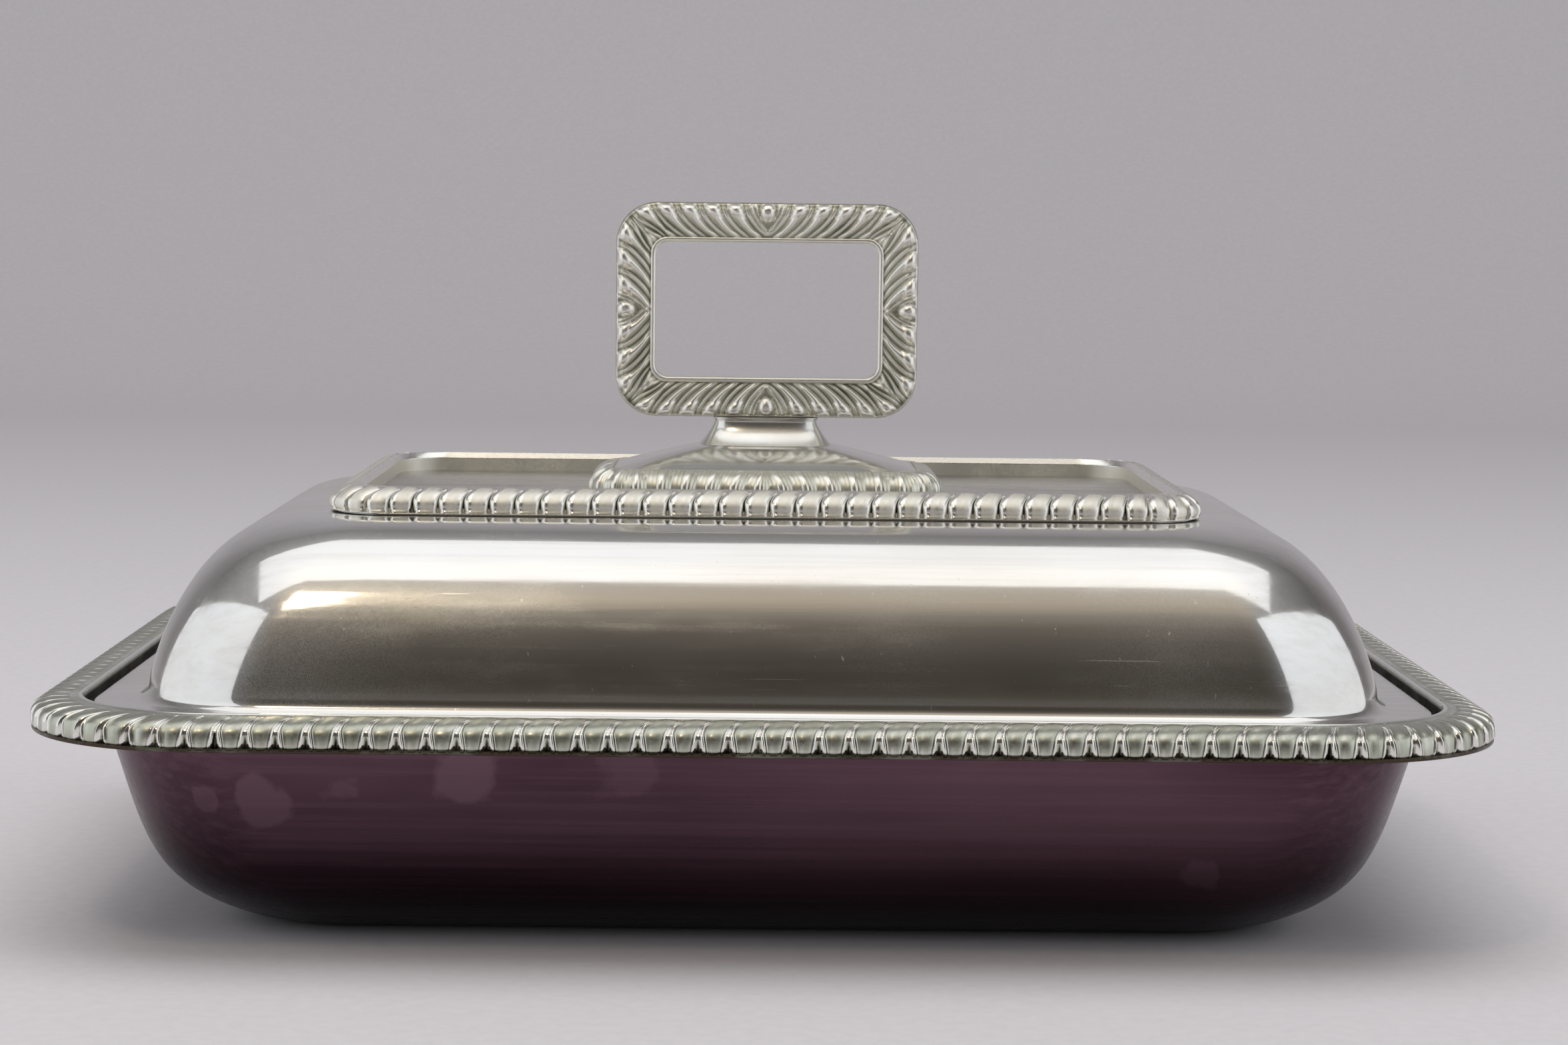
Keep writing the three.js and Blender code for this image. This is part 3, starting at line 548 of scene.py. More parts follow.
def borderFrames(border, path, place):
    # Where a length along the outer edge lies: the corner centre that it turns about, the way
    # outward and how much further the outer edge stands than on the straights
    place = np.mod(place, path["starts"][-1])
    part = np.clip(np.searchsorted(path["starts"], place, side="right") - 1, 0, 7)
    along = place - path["starts"][part]
    quarter, onCorner = part // 2, part % 2 == 1
    turn = np.where(onCorner, np.interp(along, path["run"], path["turn"]), 0)
    spare = np.interp(turn, path["turn"], path["edge"]) - border["innerRadius"] - border["width"]
    x, y = path["straightX"], path["straightY"]
    corners = np.array([[-x, -y], [x, -y], [x, y], [-x, y]])
    ways = np.array([[1, 0], [0, 1], [-1, 0], [0, -1.0]])
    centre = np.where(onCorner[..., None], corners[(quarter + 1) % 4],
                      corners[quarter] + ways[quarter] * along[..., None])
    angle = (quarter - 1) * math.pi / 2 + turn
    return centre, np.stack([np.cos(angle), np.sin(angle)], axis=-1), np.where(onCorner, spare, 0)


def lobeRows(border, angles):
    # Rows of out, height and angle on a superellipse from the land down to the widest point
    crest, power = border["top"] - border["drop"], border["roundness"]
    rows = []
    for degrees in angles:
        angle = math.radians(degrees)
        out = border["land"] + (border["width"] - border["land"]) * max(math.cos(angle), 0) ** power
        rows.append((out, crest + border["drop"] * math.sin(angle) ** power, degrees))
    return rows


def borderSection(border):
    # Rows across the border, from the seat up the inner wall, over its chamfer or its bead, the
    # land and the lobes, to the fillet's step and under the lip
    shape, bead, top = lobeShape, border["bead"], border["top"]
    level, clear = top - border["landDrop"], shape["edgeEase"]
    rows = [(0, border["seat"], wallMark)]
    if border["chamfer"]:
        wide, tall = border["chamfer"]
        rows.append((0, top - tall - clear, wallMark))
        rows += [(wide * share, top - tall * (1 - share), beadMark) for share in (0.0, 0.06, 0.5, 0.94, 1.0)]
        rows += [(wide + 0.1, top - 0.02, landMark), (border["land"] - 0.05, level, landMark)]
    else:
        rows.append((0, (border["seat"] + top) / 2, wallMark))
        for angle in np.radians((180, 135, 90, 45)):
            rows.append((bead + bead * math.cos(angle), top - bead + bead * math.sin(angle), beadMark))
        landStart = bead * 2.1
        for share in (0.0, 0.5, 0.92):
            rows.append((landStart + (border["land"] - landStart) * share, level, landMark))
    rows += lobeRows(border, lobeAngles)
    crest, filletTop = top - border["drop"], border["bottom"] + border["fillet"]
    for share in (0.3, 0.6, 0.85, 1.0):
        rows.append((border["width"], crest + (filletTop - crest) * share, -share))
    stepped, under = border["width"] - border["step"], border["width"] - border["lip"]
    rows += [(stepped, filletTop - shape["endTuck"], stepMark), (stepped, border["bottom"] + clear, stepMark),
             (stepped - clear, border["bottom"], stepMark), (under, border["bottom"], lipMark),
             (under, border["seat"], lipMark)]
    return np.array(rows)


def lobeGrid(border, angle, height, count):
    # For every row and column of a run of lobes: the share of a lobe's length it stands at, how
    # far the skin sinks below the plain round, and how dull it is. The flute is a V that widens
    # as it falls, with a thin rib on each side of the flat face between two flutes, and an arch
    # sinks the skin by a power of the distance from the lobe's peak.
    shape, peak = lobeShape, border["peak"]
    low = clamped(1 - angle / 90)[:, None]
    wholeFall = border["top"] - border["bottom"] - border["fillet"]
    fall = clamped((border["top"] - height) / wholeFall)[:, None]
    fluteHalf = shape["fluteHalf"] + shape["fluteTurned"] * low + shape["fluteFallen"] * fall
    fluteHalf = border["fluteWidth"] * fluteHalf
    fromEnd, ofHalf, beyond, inFlute, onFace, dull = (border["lobe"][None, :, part] for part in range(6))
    share = fluteHalf * ofHalf + beyond
    share = np.where(fromEnd > 0, 1 - share, share)
    away = np.where(share < peak, (peak - share) / peak, (share - peak) / (1 - peak))
    depth = (border["flute"] * (shape["fluteShallow"] + (1 - shape["fluteShallow"]) * fall) * inFlute
             + border["face"] * onFace * clamped(low / shape["faceFrom"], shape["faceShallow"])
             + border["arch"] * np.abs(away) ** shape["archPower"])
    # painted shade: the flute's bottom is dark from a share of its fall, and its sides from
    # twice that share, where the undercut flute faces down
    darkFrom = shape["darkFrom"] * (1 + (ofHalf == 0.5))
    dark = clamped((fall - darkFrom) / shape["darkOver"]) * (inFlute > 0.4)
    dull = np.maximum(dull * border["shade"], dark)
    place = np.tile(share, count) + np.repeat(np.arange(count), share.shape[1])[None, :]
    last = [np.full((len(angle), 1), float(count)), depth[:, :1], dull[:, :1]]
    grids = [place, np.tile(depth, count), np.tile(dull, count)]
    return [np.concatenate(pair, axis=1) for pair in zip(grids, last)]


def sectionNormal(border, angle):
    # The way outward from the section's superellipse at each angle, as out and up
    power = border["roundness"]
    radians = np.radians(np.clip(angle, 0, 90))
    out = clamped(np.cos(radians)) ** (2 - power) / (border["width"] - border["land"])
    up = np.sin(radians) ** (2 - power) / border["drop"]
    length = np.hypot(out, up)
    return out / length, up / length


def borderSkin(border, path, begin, pitch, count):
    # The skin over a run of lobes: each column leans along the edge as it climbs, and sinks
    # along the section's normal by the lobe's depth, but not below the land
    section, shape = borderSection(border), lobeShape
    share, depth, dull = lobeGrid(border, section[:, 2], section[:, 1], count)
    out, height, angle = (section[:, part][:, None] for part in range(3))
    onLobe = (angle <= 90) & (angle >= -1)
    climb = clamped((angle - border["climbFrom"]) / (90 - border["climbFrom"])) ** shape["climbPower"]
    place = begin + pitch * share + border["lean"] * np.where(angle > 90, 1, climb)
    normalOut, normalUp = sectionNormal(border, angle)
    depth = depth * onLobe
    newOut, newHeight = out - depth * normalOut, height - depth * normalUp
    pastLand = np.clip(newOut - border["land"] - shape["landEase"], 0, None)
    land = border["top"] - border["landDrop"] - shape["landSlope"] * pastLand ** shape["landPower"]
    rise = newHeight - land
    upper = onLobe & (angle > 40)
    newHeight = np.where(upper, np.maximum(newHeight, land), newHeight)
    # a dark line round each arch, and bright plate in the corners between arches
    nearLine = clamped(1 - np.abs(rise - shape["lineRise"]) / shape["lineHalf"])
    line = border["archLine"] * nearLine * upper
    dull = np.where(upper & (rise < 0) & (border["archLine"] > 0), 0, np.maximum(dull, line))
    # the lobe's rounded lower end, higher beside the flutes than in the middle
    below = onLobe & (angle <= 0)
    crest, filletTop = border["top"] - border["drop"], border["bottom"] + border["fillet"]
    fromMiddle = np.abs(2 * np.mod(share, 1) - 1)
    endShare = shape["endLeast"] + shape["endMore"] * fromMiddle ** shape["endPower"]
    ending = clamped((filletTop + (crest - filletTop) * endShare - height) / shape["endFade"])
    ending = ending * ending * (3 - 2 * ending)
    tucked = newOut - (border["step"] + shape["endTuck"]) * ending * below
    newOut = np.where(below, np.maximum(tucked, border["width"] - shape["tuckMost"]), newOut)
    centre, outward, spare = borderFrames(border, path, place)
    widen = clamped((newOut - border["bead"]) / (border["land"] - border["bead"]))
    reach = border["innerRadius"] + newOut + spare * widen
    points = atHeight(centre + outward * reach[..., None], newHeight)
    # painted shade: the inner wall's value darkens the gap behind the cover's flange on the rim and the wall
    # round the sunk top
    offLobe = np.where(angle == wallMark, border["wallPaintedShade"],
                       np.where(angle == beadMark, shape["beadShade"], border["landShade"]))
    # painted shade under the lobes: their rounded lower ends and the step below are darkened by lipShade,
    # fully on the rim and hardly on the top border, and the lip's underside by lipUnder
    dull = np.maximum(dull, shape["endShade"] * ending * below * border["lipShade"])
    recess = np.where(onLobe, dull, offLobe)
    recess = np.where(angle == stepMark, border["lipShade"], recess)
    return points, np.where(angle == lipMark, shape["lipUnder"], recess)


def endCap(rows, columns, column, corner):
    # Quads between the upper and the lower half of a section, from its outer corner inward
    upper = np.arange(corner + 1)
    lower = np.arange(rows - 1, corner, -1)
    lower = lower[np.round(np.linspace(0, len(lower) - 1, len(upper))).astype(int)]
    quads = np.stack([upper[:-1], upper[1:], lower[1:], lower[:-1]], axis=-1) * columns + column
    same = quads[:, 2] == quads[:, 3]
    return quads[~same], quads[same][:, :3]


def addGadroonBorder(prefix, border, body, plate, names):
    # One piece for each side and corner, its lobes spread evenly over its own length
    path = borderPath(border)
    for side, name in enumerate(names):
        count = border["counts"][side % 4]
        begin, end = path["starts"][side], path["starts"][side + 1]
        points, recess = borderSkin(border, path, begin + border["start"], (end - begin) / count, count)
        rows, columns = recess.shape
        faces = [gridFaces(rows, columns, True, False)]
        for column, turned in ((0, False), (columns - 1, True)):
            for group in endCap(rows, columns, column, rows - rowsBelowLobes - 1):
                faces.append(group if turned else group[:, ::-1])
        look = {"material": plate, "body": body, "slot": "gadroon_plate", "sharp": 62,
                "replaces": f"{prefix}_{name}"}
        addPiece(f"{prefix}_gadroons_{name}", points, faces, look, {"recess": recess})


sides = ("front", "corner_front_right", "right", "corner_back_right",
         "back", "corner_back_left", "left", "corner_front_left")
addGadroonBorder("rim_border", rimBorder, "dish", gadroonPlate, sides)
addGadroonBorder("top_border", topBorder, "lid", topPlate, sides)
print("rim and top borders made")

# Pan
pan = {
    "ledgeHalf": 150.9, "ledgeRadius": 37.4, "ledgeTop": 47.8, "sheet": 1.2, "wallHalf": 139.1,
    "wallRadius": 33.0, "baseInset": 32.4, "baseRadius": 18.0, "lean": 11.4, "fillet": 1.6, "bulge": 1.18,
    "drop": 5.8, "shorter": 37.5, "gap": (140.9, 141.6), "wallRows": 40, "filletRows": 6, "arcSteps": 14,
    "sideSteps": (12, 12),
}


def quarterTurn(rows):
    return np.linspace(0, math.pi / 2, rows + 1)[1:]


def panWall(size):
    # Swells out of the flat base: the outward share rises as one less a high power of what is
    # left of the height, while the corner grows rounder
    rise = np.linspace(0, 1, 400) ** 2
    out = (1 - (1 - rise) ** size["drop"]) ** (1 / size["bulge"])
    half = size["wallHalf"] - size["baseInset"]
    half = half + (size["baseInset"] - size["lean"]) * out + size["lean"] * rise
    wallTop = size["ledgeTop"] - size["sheet"] - size["fillet"]
    radius = size["baseRadius"] + (size["wallRadius"] - size["baseRadius"]) * out
    wall = evenly(np.stack([half, wallTop * rise, radius], axis=1), size["wallRows"])
    turn = quarterTurn(size["filletRows"])
    away = size["fillet"] * (1 - np.cos(turn))
    fillet = np.stack([size["wallHalf"] + away, wallTop + size["fillet"] * np.sin(turn),
                       size["wallRadius"] + away], axis=1)
    underLedge = size["ledgeTop"] - size["sheet"]
    gap = [[half, underLedge, size["wallRadius"] + half - size["wallHalf"]] for half in size["gap"]]
    return np.concatenate([wall, fillet, gap, [[size["ledgeHalf"], underLedge, size["ledgeRadius"]]]])


def addPan(size):
    outer = panWall(size)
    inner = movedAside(outer, size["sheet"])[::-1]
    rings = loftRings(np.concatenate([outer, inner]), size["shorter"], size["arcSteps"], size["sideSteps"])
    points, faces = closedByFans(rings, 0, size["sheet"])
    rows, columns = rings.shape[:2]
    outside = np.append(np.repeat(np.arange(rows) < len(outer) - 1, columns), [True, False])
    # painted shade on the ledge's outer margin, in the gap that the cover's flange doesn't reach
    margin = np.isin(np.arange(rows), (len(outer), len(outer) + 1))
    tarnishAndPaintedShade = np.append(np.repeat(margin, columns), [False, False])
    look = {"material": satinPlate, "body": "dish", "slot": "pan_plate", "sharp": 45, "replaces": "dish_pan"}
    addPiece("pan_shell", points, faces, look, {"outside": outside, "tarnishAndPaintedShade": tarnishAndPaintedShade})


addPan(pan)
print("pan made")

# Cover
cover = {
    "topHalf": 93.6, "topRadius": 12.5, "top": 88.4, "stepHeight": 1.5, "stepLean": 0.3, "footHalf": 130.7,
    "footRadius": 28.0, "footFillet": 3.2, "flangeHalf": 141.0, "flangeRadius": 32.0, "flangeTop": 49.0,
    "sheet": 1.2, "shorter": 37.5, "bulge": 2.93, "drop": 1.3, "roundness": 0.5,
    "slotReach": 8.35, "slotSide": 2.75, "holeRadius": 3.55, "holeMargin": 0.12,
    "wallRows": 56, "filletRows": 5, "arcSteps": 16, "sideSteps": (16, 16),
}


def coverWall(size):
    # A quarter of a superellipse drawn from the shoulder down, its corners growing rounder
    wallBottom = size["flangeTop"] + size["footFillet"]
    shoulderTop = size["top"] - size["stepHeight"]
    shoulderHalf = size["topHalf"] + size["stepLean"]
    turn = np.linspace(math.pi / 2, 0, 900)
    rise = clamped(np.sin(turn)) ** (2 / size["drop"])
    out = clamped(np.cos(turn)) ** (2 / size["bulge"])
    half = shoulderHalf + (size["footHalf"] - shoulderHalf) * out
    height = wallBottom + (shoulderTop - wallBottom) * rise
    radius = size["topRadius"] + (size["footRadius"] - size["topRadius"]) * out ** size["roundness"]
    wall = evenly(np.stack([half, height, radius], axis=1), size["wallRows"])
    ease = quarterTurn(size["filletRows"])
    away = size["footFillet"] * (1 - np.cos(ease))
    fillet = np.stack([size["footHalf"] + away, wallBottom - size["footFillet"] * np.sin(ease),
                       size["footRadius"] + away], axis=1)
    top = [[size["topHalf"], size["top"], size["topRadius"]]]
    edge = [[size["flangeHalf"], size["flangeTop"], size["flangeRadius"]]]
    return np.concatenate([top, wall, fillet, edge])


def keyholeRing(size, outline, height):
    # The keyhole seen from its centre: the further of a circle and a slot along the length
    angle = np.arctan2(outline[:, 1], outline[:, 0])
    slot = np.minimum(size["slotReach"] / np.maximum(np.abs(np.cos(angle)), 1e-6),
                      size["slotSide"] / np.maximum(np.abs(np.sin(angle)), 1e-6))
    reach = np.maximum(slot, size["holeRadius"])
    return np.stack([reach * np.cos(angle), reach * np.sin(angle), np.full(len(angle), height)], axis=1)


def addCover(size):
    outer = coverWall(size)
    inner = movedAside(outer, -size["sheet"])[::-1]
    rings = loftRings(np.concatenate([outer, inner]), size["shorter"], size["arcSteps"], size["sideSteps"])
    hole = keyholeRing(size, rings[0], size["top"])
    underHole = keyholeRing(size, rings[-1], size["top"] - size["sheet"])
    nearTop = hole + (rings[0] - hole) * size["holeMargin"]
    nearUnder = underHole + (rings[-1] - underHole) * size["holeMargin"]
    rings = np.concatenate([[hole, nearTop], rings, [nearUnder, underHole]])
    look = {"material": brightPlate, "body": "lid", "slot": "cover_plate", "sharp": 35,
            "replaces": "cover_dome"}
    addPiece("cover_shell", rings, [gridFaces(*rings.shape[:2], True, True)], look)


addCover(cover)
print("cover made")

# Handle loop. Its edges are rows of out and depth, on the opening's side and on the outer side.
loop = {
    "length": 69.6, "height": 49.3, "bottom": 105.5, "bar": 9.2, "cornerRadius": 9.6, "openRadius": 3.0,
    "crown": 4.5, "rimWidth": 1.3, "edgeDepth": 2.5, "edgeWidth": 0.5,
    "innerEdge": ((0.0, 0.0), (0.0, 1.3), (0.0, 2.4), (0.12, 2.85), (0.4, 3.08), (0.75, 3.12), (1.05, 3.0),
                  (1.22, 2.75)),
    "outerEdge": ((9.18, 2.25), (9.2, 1.6), (9.2, 0.0)), "fieldEnd": 9.08, "fieldRows": 34,
    "edgeShade": 0.15, "grooveShade": 0.7, "leafShade": 0.9, "hollowHigh": 0.62, "hollowPower": 1.3,
    "arcSteps": 74, "sideSteps": (236, 142),
}
# the bed under the leaves, from rim to edge
bed = {"depth": 2.5, "rise": 0.45, "edgeDrop": 0.3, "edgeFrom": 0.85}
# leaves swept along the bar, in millimetres, and one repeat of them in shares of its pitch and
# of the way across the bar
leaves = {
    "longFirst": 7.6, "longPitch": 5.4, "shortFirst": 5.8, "shortPitch": 6.3, "meeting": 32.7,
    "sweep": 5.3, "bend": 2.1, "rise": 1.55, "seamHalf": 0.7, "seamWiden": 1.6, "seamLeast": 0.4,
    "ridgeHigh": 0.6, "ridgeFrom": 0.25, "endOver": 0.12, "tailOver": 0.16, "tailLeast": 0.35,
    "swellOver": 0.7, "swellLeast": 0.55, "pearlClear": 0.5, "pearlLeast": 0.06,
    "leafAt": 0.25, "leafHigh": 0.86, "leafHalf": 0.24, "leafWiden": 0.12, "widenFrom": 0.2, "widenOver": 0.5,
    "ribAt": 0.75, "ribHigh": 0.42, "ribHalf": 0.15, "ribFade": 0.35, "ribLeast": 0.2, "swellPower": 0.6,
    "headAt": 0.25, "headHalf": 0.37, "headOut": 0.78, "headTall": 0.34, "headPower": 0.7,
}
pearls = {
    "out": 6.95, "half": 1.95, "rise": 1.75, "inwardLonger": 1.25,
    "archTip": 2.3, "archHalf": 3.8, "archRise": 0.95, "archLine": 0.42, "innerRise": 0.6, "innerLine": 0.3,
    "innerIn": 0.95, "innerFrom": 2.2, "innerFade": 0.6, "beforeTip": 0.9, "tipFade": 0.7,
    "beforeEdge": 0.4, "edgeFade": 0.5,
}


onHandle = {"body": "handle", "slot": "handle_plate"}


def loopOutlines(size, out):
    # The loop's outline at each distance from the opening's edge, with more rounded corners
    # further out
    out = np.asarray(out, float)
    radius = size["openRadius"] + (size["cornerRadius"] - size["openRadius"]) * out / size["bar"]
    halfX, halfZ = (size[part] / 2 - size["bar"] + out for part in ("length", "height"))
    return roundRect(halfX, halfZ, radius, size["arcSteps"], size["sideSteps"])


def loopLengths(size):
    # Every column's length along the outer edge from the middle of the nearest long side, and
    # the length from there to the middle of a short side
    long, short = (size[part] - 2 * size["cornerRadius"] for part in ("length", "height"))
    arc = math.pi / 2 * size["cornerRadius"]
    whole = long / 2 + arc + short / 2
    arcShare = np.arange(size["arcSteps"]) / size["arcSteps"]
    longShare, shortShare = (np.arange(steps) / steps for steps in size["sideSteps"])
    half = [long / 2 + arc * (1 - arcShare), np.abs(long * longShare - long / 2),
            long / 2 + arc * arcShare, whole - np.abs(short * shortShare - short / 2)]
    return np.concatenate(half * 2), whole


def leafHeight(share, across):
    # One repeat of the leaf work: a thick leaf that widens outward to a round head near the
    # outer edge, then a thin rib in the hollow that fills the rest of the repeat. Leaf and rib
    # are cosine swells, and the head is the power of one less a squared distance.

    def swell(centre, half):
        away = clamped(np.abs(np.mod(share - centre + 0.5, 1) - 0.5) / half)
        return (0.5 + 0.5 * np.cos(math.pi * away)) ** leaves["swellPower"]

    widened = clamped((across - leaves["widenFrom"]) / leaves["widenOver"])
    half = leaves["leafHalf"] + leaves["leafWiden"] * widened
    headAlong = np.abs(np.mod(share - leaves["headAt"] + 0.5, 1) - 0.5) / leaves["headHalf"]
    headAcross = (across - leaves["headOut"]) / leaves["headTall"]
    head = clamped(1 - headAlong ** 2 - headAcross ** 2) ** leaves["headPower"]
    fade = clamped((1 - across) / leaves["ribFade"], leaves["ribLeast"])
    rib = leaves["ribHigh"] * swell(leaves["ribAt"], leaves["ribHalf"]) * fade
    return np.maximum(np.maximum(leaves["leafHigh"] * swell(leaves["leafAt"], half), rib), head)


def pearlRelief(along, out, bar):
    # A round pearl near the outer edge between two nested pointed arches whose tips point at
    # the opening: their half width grows as one less the square of what is left of the height,
    # and each arch is a bell curve across its line
    reach = clamped((out - pearls["archTip"]) / (bar - pearls["archTip"]))
    half = pearls["archHalf"] * (1 - (1 - reach) ** 2)
    longer = np.where(out < pearls["out"], pearls["inwardLonger"], 1.0)
    away = (along / pearls["half"]) ** 2 + ((out - pearls["out"]) / (pearls["half"] * longer)) ** 2
    pearl = pearls["rise"] * np.sqrt(clamped(1 - away))
    shown = (clamped((out - pearls["archTip"] + pearls["beforeTip"]) / pearls["tipFade"])
             * clamped((bar - pearls["beforeEdge"] - out) / pearls["edgeFade"]))
    fromArch = np.abs(along) - half
    outer = pearls["archRise"] * np.exp(-(fromArch / pearls["archLine"]) ** 2) * shown
    inner = pearls["innerRise"] * np.exp(-((fromArch + pearls["innerIn"]) / pearls["innerLine"]) ** 2) * shown
    inner = inner * clamped((half - pearls["innerFrom"]) / pearls["innerFade"])
    return np.maximum(np.maximum(pearl, outer), inner), half


def loopSurface(size, out, along, whole):
    # Depth in front of the middle plane: a bed that rises outward, with the leaf work on it.
    # The leaves of the long sides and of the short sides meet on a ridge at each corner.
    out = out[:, None]
    across = clamped((out - size["rimWidth"]) / (size["bar"] - size["rimWidth"] - size["edgeWidth"]))
    inward = 1 - across
    sweep = leaves["sweep"] * inward ** leaves["bend"]
    fromLong = np.broadcast_to(along[None, :], (len(out), len(along)))
    fromShort = whole - fromLong
    longShare = (fromLong + sweep - leaves["longFirst"]) / leaves["longPitch"] + leaves["leafAt"]
    shortShare = (fromShort + sweep - leaves["shortFirst"]) / leaves["shortPitch"] + leaves["leafAt"]
    leaf = leafHeight(np.where(fromLong < leaves["meeting"], longShare, shortShare), across)
    seam = np.abs(fromLong - leaves["meeting"])
    ridge = clamped(1 - seam / (leaves["seamHalf"] + leaves["seamWiden"] * inward ** 2))
    ridge = leaves["ridgeHigh"] * ridge * clamped(inward * leaves["seamWiden"] - leaves["ridgeFrom"])
    leaf = np.maximum(leaf * clamped(seam / leaves["seamHalf"], leaves["seamLeast"]), ridge)
    end = np.sqrt(1 - (1 - clamped(inward / leaves["endOver"])) ** 2)
    tail = leaves["tailLeast"] + (1 - leaves["tailLeast"]) * clamped(across / leaves["tailOver"])
    swell = leaves["swellLeast"] + (1 - leaves["swellLeast"]) * clamped(across / leaves["swellOver"])
    relief = leaves["rise"] * leaf * swell * end * tail
    nearest = np.minimum(fromLong, fromShort)
    pearl, half = pearlRelief(nearest, out, size["bar"])
    clear = clamped((nearest - half) / leaves["pearlClear"], leaves["pearlLeast"])
    relief = np.maximum(relief * clear, pearl)
    hollow = clamped(1 - relief / size["hollowHigh"]) ** size["hollowPower"]
    ground = bed["depth"] + bed["rise"] * across
    ground = ground - bed["edgeDrop"] * clamped((across - bed["edgeFrom"]) / (1 - bed["edgeFrom"]))
    return np.minimum(ground + relief, size["crown"]), hollow


def addLoopHalf(size, side, name):
    inner, outer = np.array(size["innerEdge"]), np.array(size["outerEdge"])
    field = np.linspace(size["rimWidth"], size["fieldEnd"], size["fieldRows"])
    outline = loopOutlines(size, np.concatenate([inner[:, 0], field, outer[:, 0]]))
    along, whole = loopLengths(size)
    depth, hollow = loopSurface(size, field, along, whole)
    edgeBand = (field > size["bar"] - size["edgeWidth"])[:, None]
    depth = np.where(edgeBand, size["edgeDepth"], depth)
    recess = np.where(edgeBand, size["edgeShade"], hollow) * size["leafShade"]
    innerDepth, outerDepth = (np.repeat(edge[:, 1:], len(along), axis=1) for edge in (inner, outer))
    depths = np.concatenate([innerDepth, depth, outerDepth])
    recess = np.concatenate([np.full_like(innerDepth, size["edgeShade"]), recess,
                             np.full_like(outerDepth, size["edgeShade"])])
    recess[len(inner) - 1] = size["grooveShade"]
    middle = size["bottom"] + size["height"] / 2
    points = np.stack([outline[..., 0], side * depths, middle + outline[..., 1]], axis=-1)
    look = onHandle | {"material": handlePlate, "sharp": 55, "replaces": f"handle_loop_{name}"}
    faces = [gridFaces(*points.shape[:2], True, True)]
    addPiece(f"handle_leafwork_{name}", points, faces, look, {"recess": recess})


addLoopHalf(loop, -1, "front")
addLoopHalf(loop, 1, "back")
print("handle loop made")

# Handle neck and foot
neck = {
    "top": 105.5, "height": 6.3, "topLength": 24.4, "topDepth": 8.8, "waistLength": 23.4, "waistDepth": 8.2,
    "bottomLength": 30.6, "bottomDepth": 15.6, "waistShare": 0.12, "lengthPower": 1.35, "depthPower": 1.9,
    "earPower": 0.6, "squareness": 3.2, "earSquareness": 1.2, "rows": 28, "columns": 96,
}
footDome = {
    "top": 99.2, "rise": 4.8, "edgeX": 33.8, "edgeY": 18.7, "topX": 15.3, "topY": 7.8, "topRadius": 5.0,
    "edgeRadius": 7.7, "sheet": 1.2, "edgeWidth": 2.2, "fallPower": 1.1, "rows": 32, "arcSteps": 12,
    "sideSteps": (12, 12),
}
footBorder = {
    "halfX": 40.3, "halfY": 25.0, "width": 8.7, "innerRadius": 3.3, "outerRadius": 12.0,
    "top": 94.4, "bottom": 88.7, "land": 3.4, "drop": 4.2, "plateStep": 1.6, "plateTop": 89.9,
    "lean": 2.3, "flute": 0.5, "face": 0.9, "perQuarter": 11, "fillet": 0.3, "roundness": 1.0, "arch": 0.0,
    "fluteWidth": 0.6, "peak": 0.5, "lobe": footLobe, "climbFrom": 5, "climbPower": 1.3, "endCurl": 0.25,
    "endStep": 0.5, "lineOut": (2.0, 2.6, 3.0), "lineDepth": 0.28, "lineShade": 0.5, "landShade": 0.3,
    "shade": 0.9,
}


def addNeck(size):
    # A short waist, with small ears at its top ends, that flares in a hollow curve to the foot.
    # Each level is a superellipse, a little squarer at the ears.
    down = np.linspace(0, 1, size["rows"])
    ears = (np.clip(size["waistShare"] - down, 0, None) / size["waistShare"]) ** size["earPower"]
    flare = np.clip(down - size["waistShare"], 0, None) / (1 - size["waistShare"])
    turn = np.linspace(0, 2 * math.pi, size["columns"] + 1)[:-1]
    power = (2 / (size["squareness"] + size["earSquareness"] * ears))[:, None]
    outline = []
    for part, wave in (("Length", np.cos(turn)), ("Depth", np.sin(turn))):
        waist, flarePower = size["waist" + part], size[part.lower() + "Power"]
        full = waist + (size["top" + part] - waist) * ears
        full = full + (size["bottom" + part] - waist) * flare ** flarePower
        outline.append(full[:, None] / 2 * np.sign(wave) * np.abs(wave) ** power)
    height = (size["top"] - size["height"] * down)[:, None]
    rings = atHeight(np.stack(outline, axis=-1), height)
    points, faces = closedByFans(rings, size["top"], size["top"] - size["height"])
    look = onHandle | {"material": neckPlate, "sharp": 40, "replaces": "handle_neck"}
    addPiece("handle_waist", points, faces, look)


def addFootDome(size):
    # Falls a little slower than a straight line at first and faster at the border
    out = np.linspace(0, 1, size["rows"])
    halfX, halfY, radius = (size["top" + part] + (size["edge" + part] - size["top" + part]) * out
                            for part in ("X", "Y", "Radius"))
    height = size["top"] - size["rise"] * out ** size["fallPower"]
    under = np.maximum(height - size["sheet"], size["top"] - size["rise"])
    outer, inner = (roundRect(halfX - inset, halfY - inset, radius, size["arcSteps"], size["sideSteps"])
                    for inset in (0, size["edgeWidth"]))
    level = np.concatenate([height, under[::-1]])[:, None]
    rings = atHeight(np.concatenate([outer, inner[::-1]]), level)
    points, faces = closedByFans(rings, size["top"], size["top"] - size["sheet"])
    look = onHandle | {"material": smoothPlate, "sharp": 50, "replaces": "handle_foot_dome"}
    addPiece("handle_foot_dome_smooth", points, faces, look)


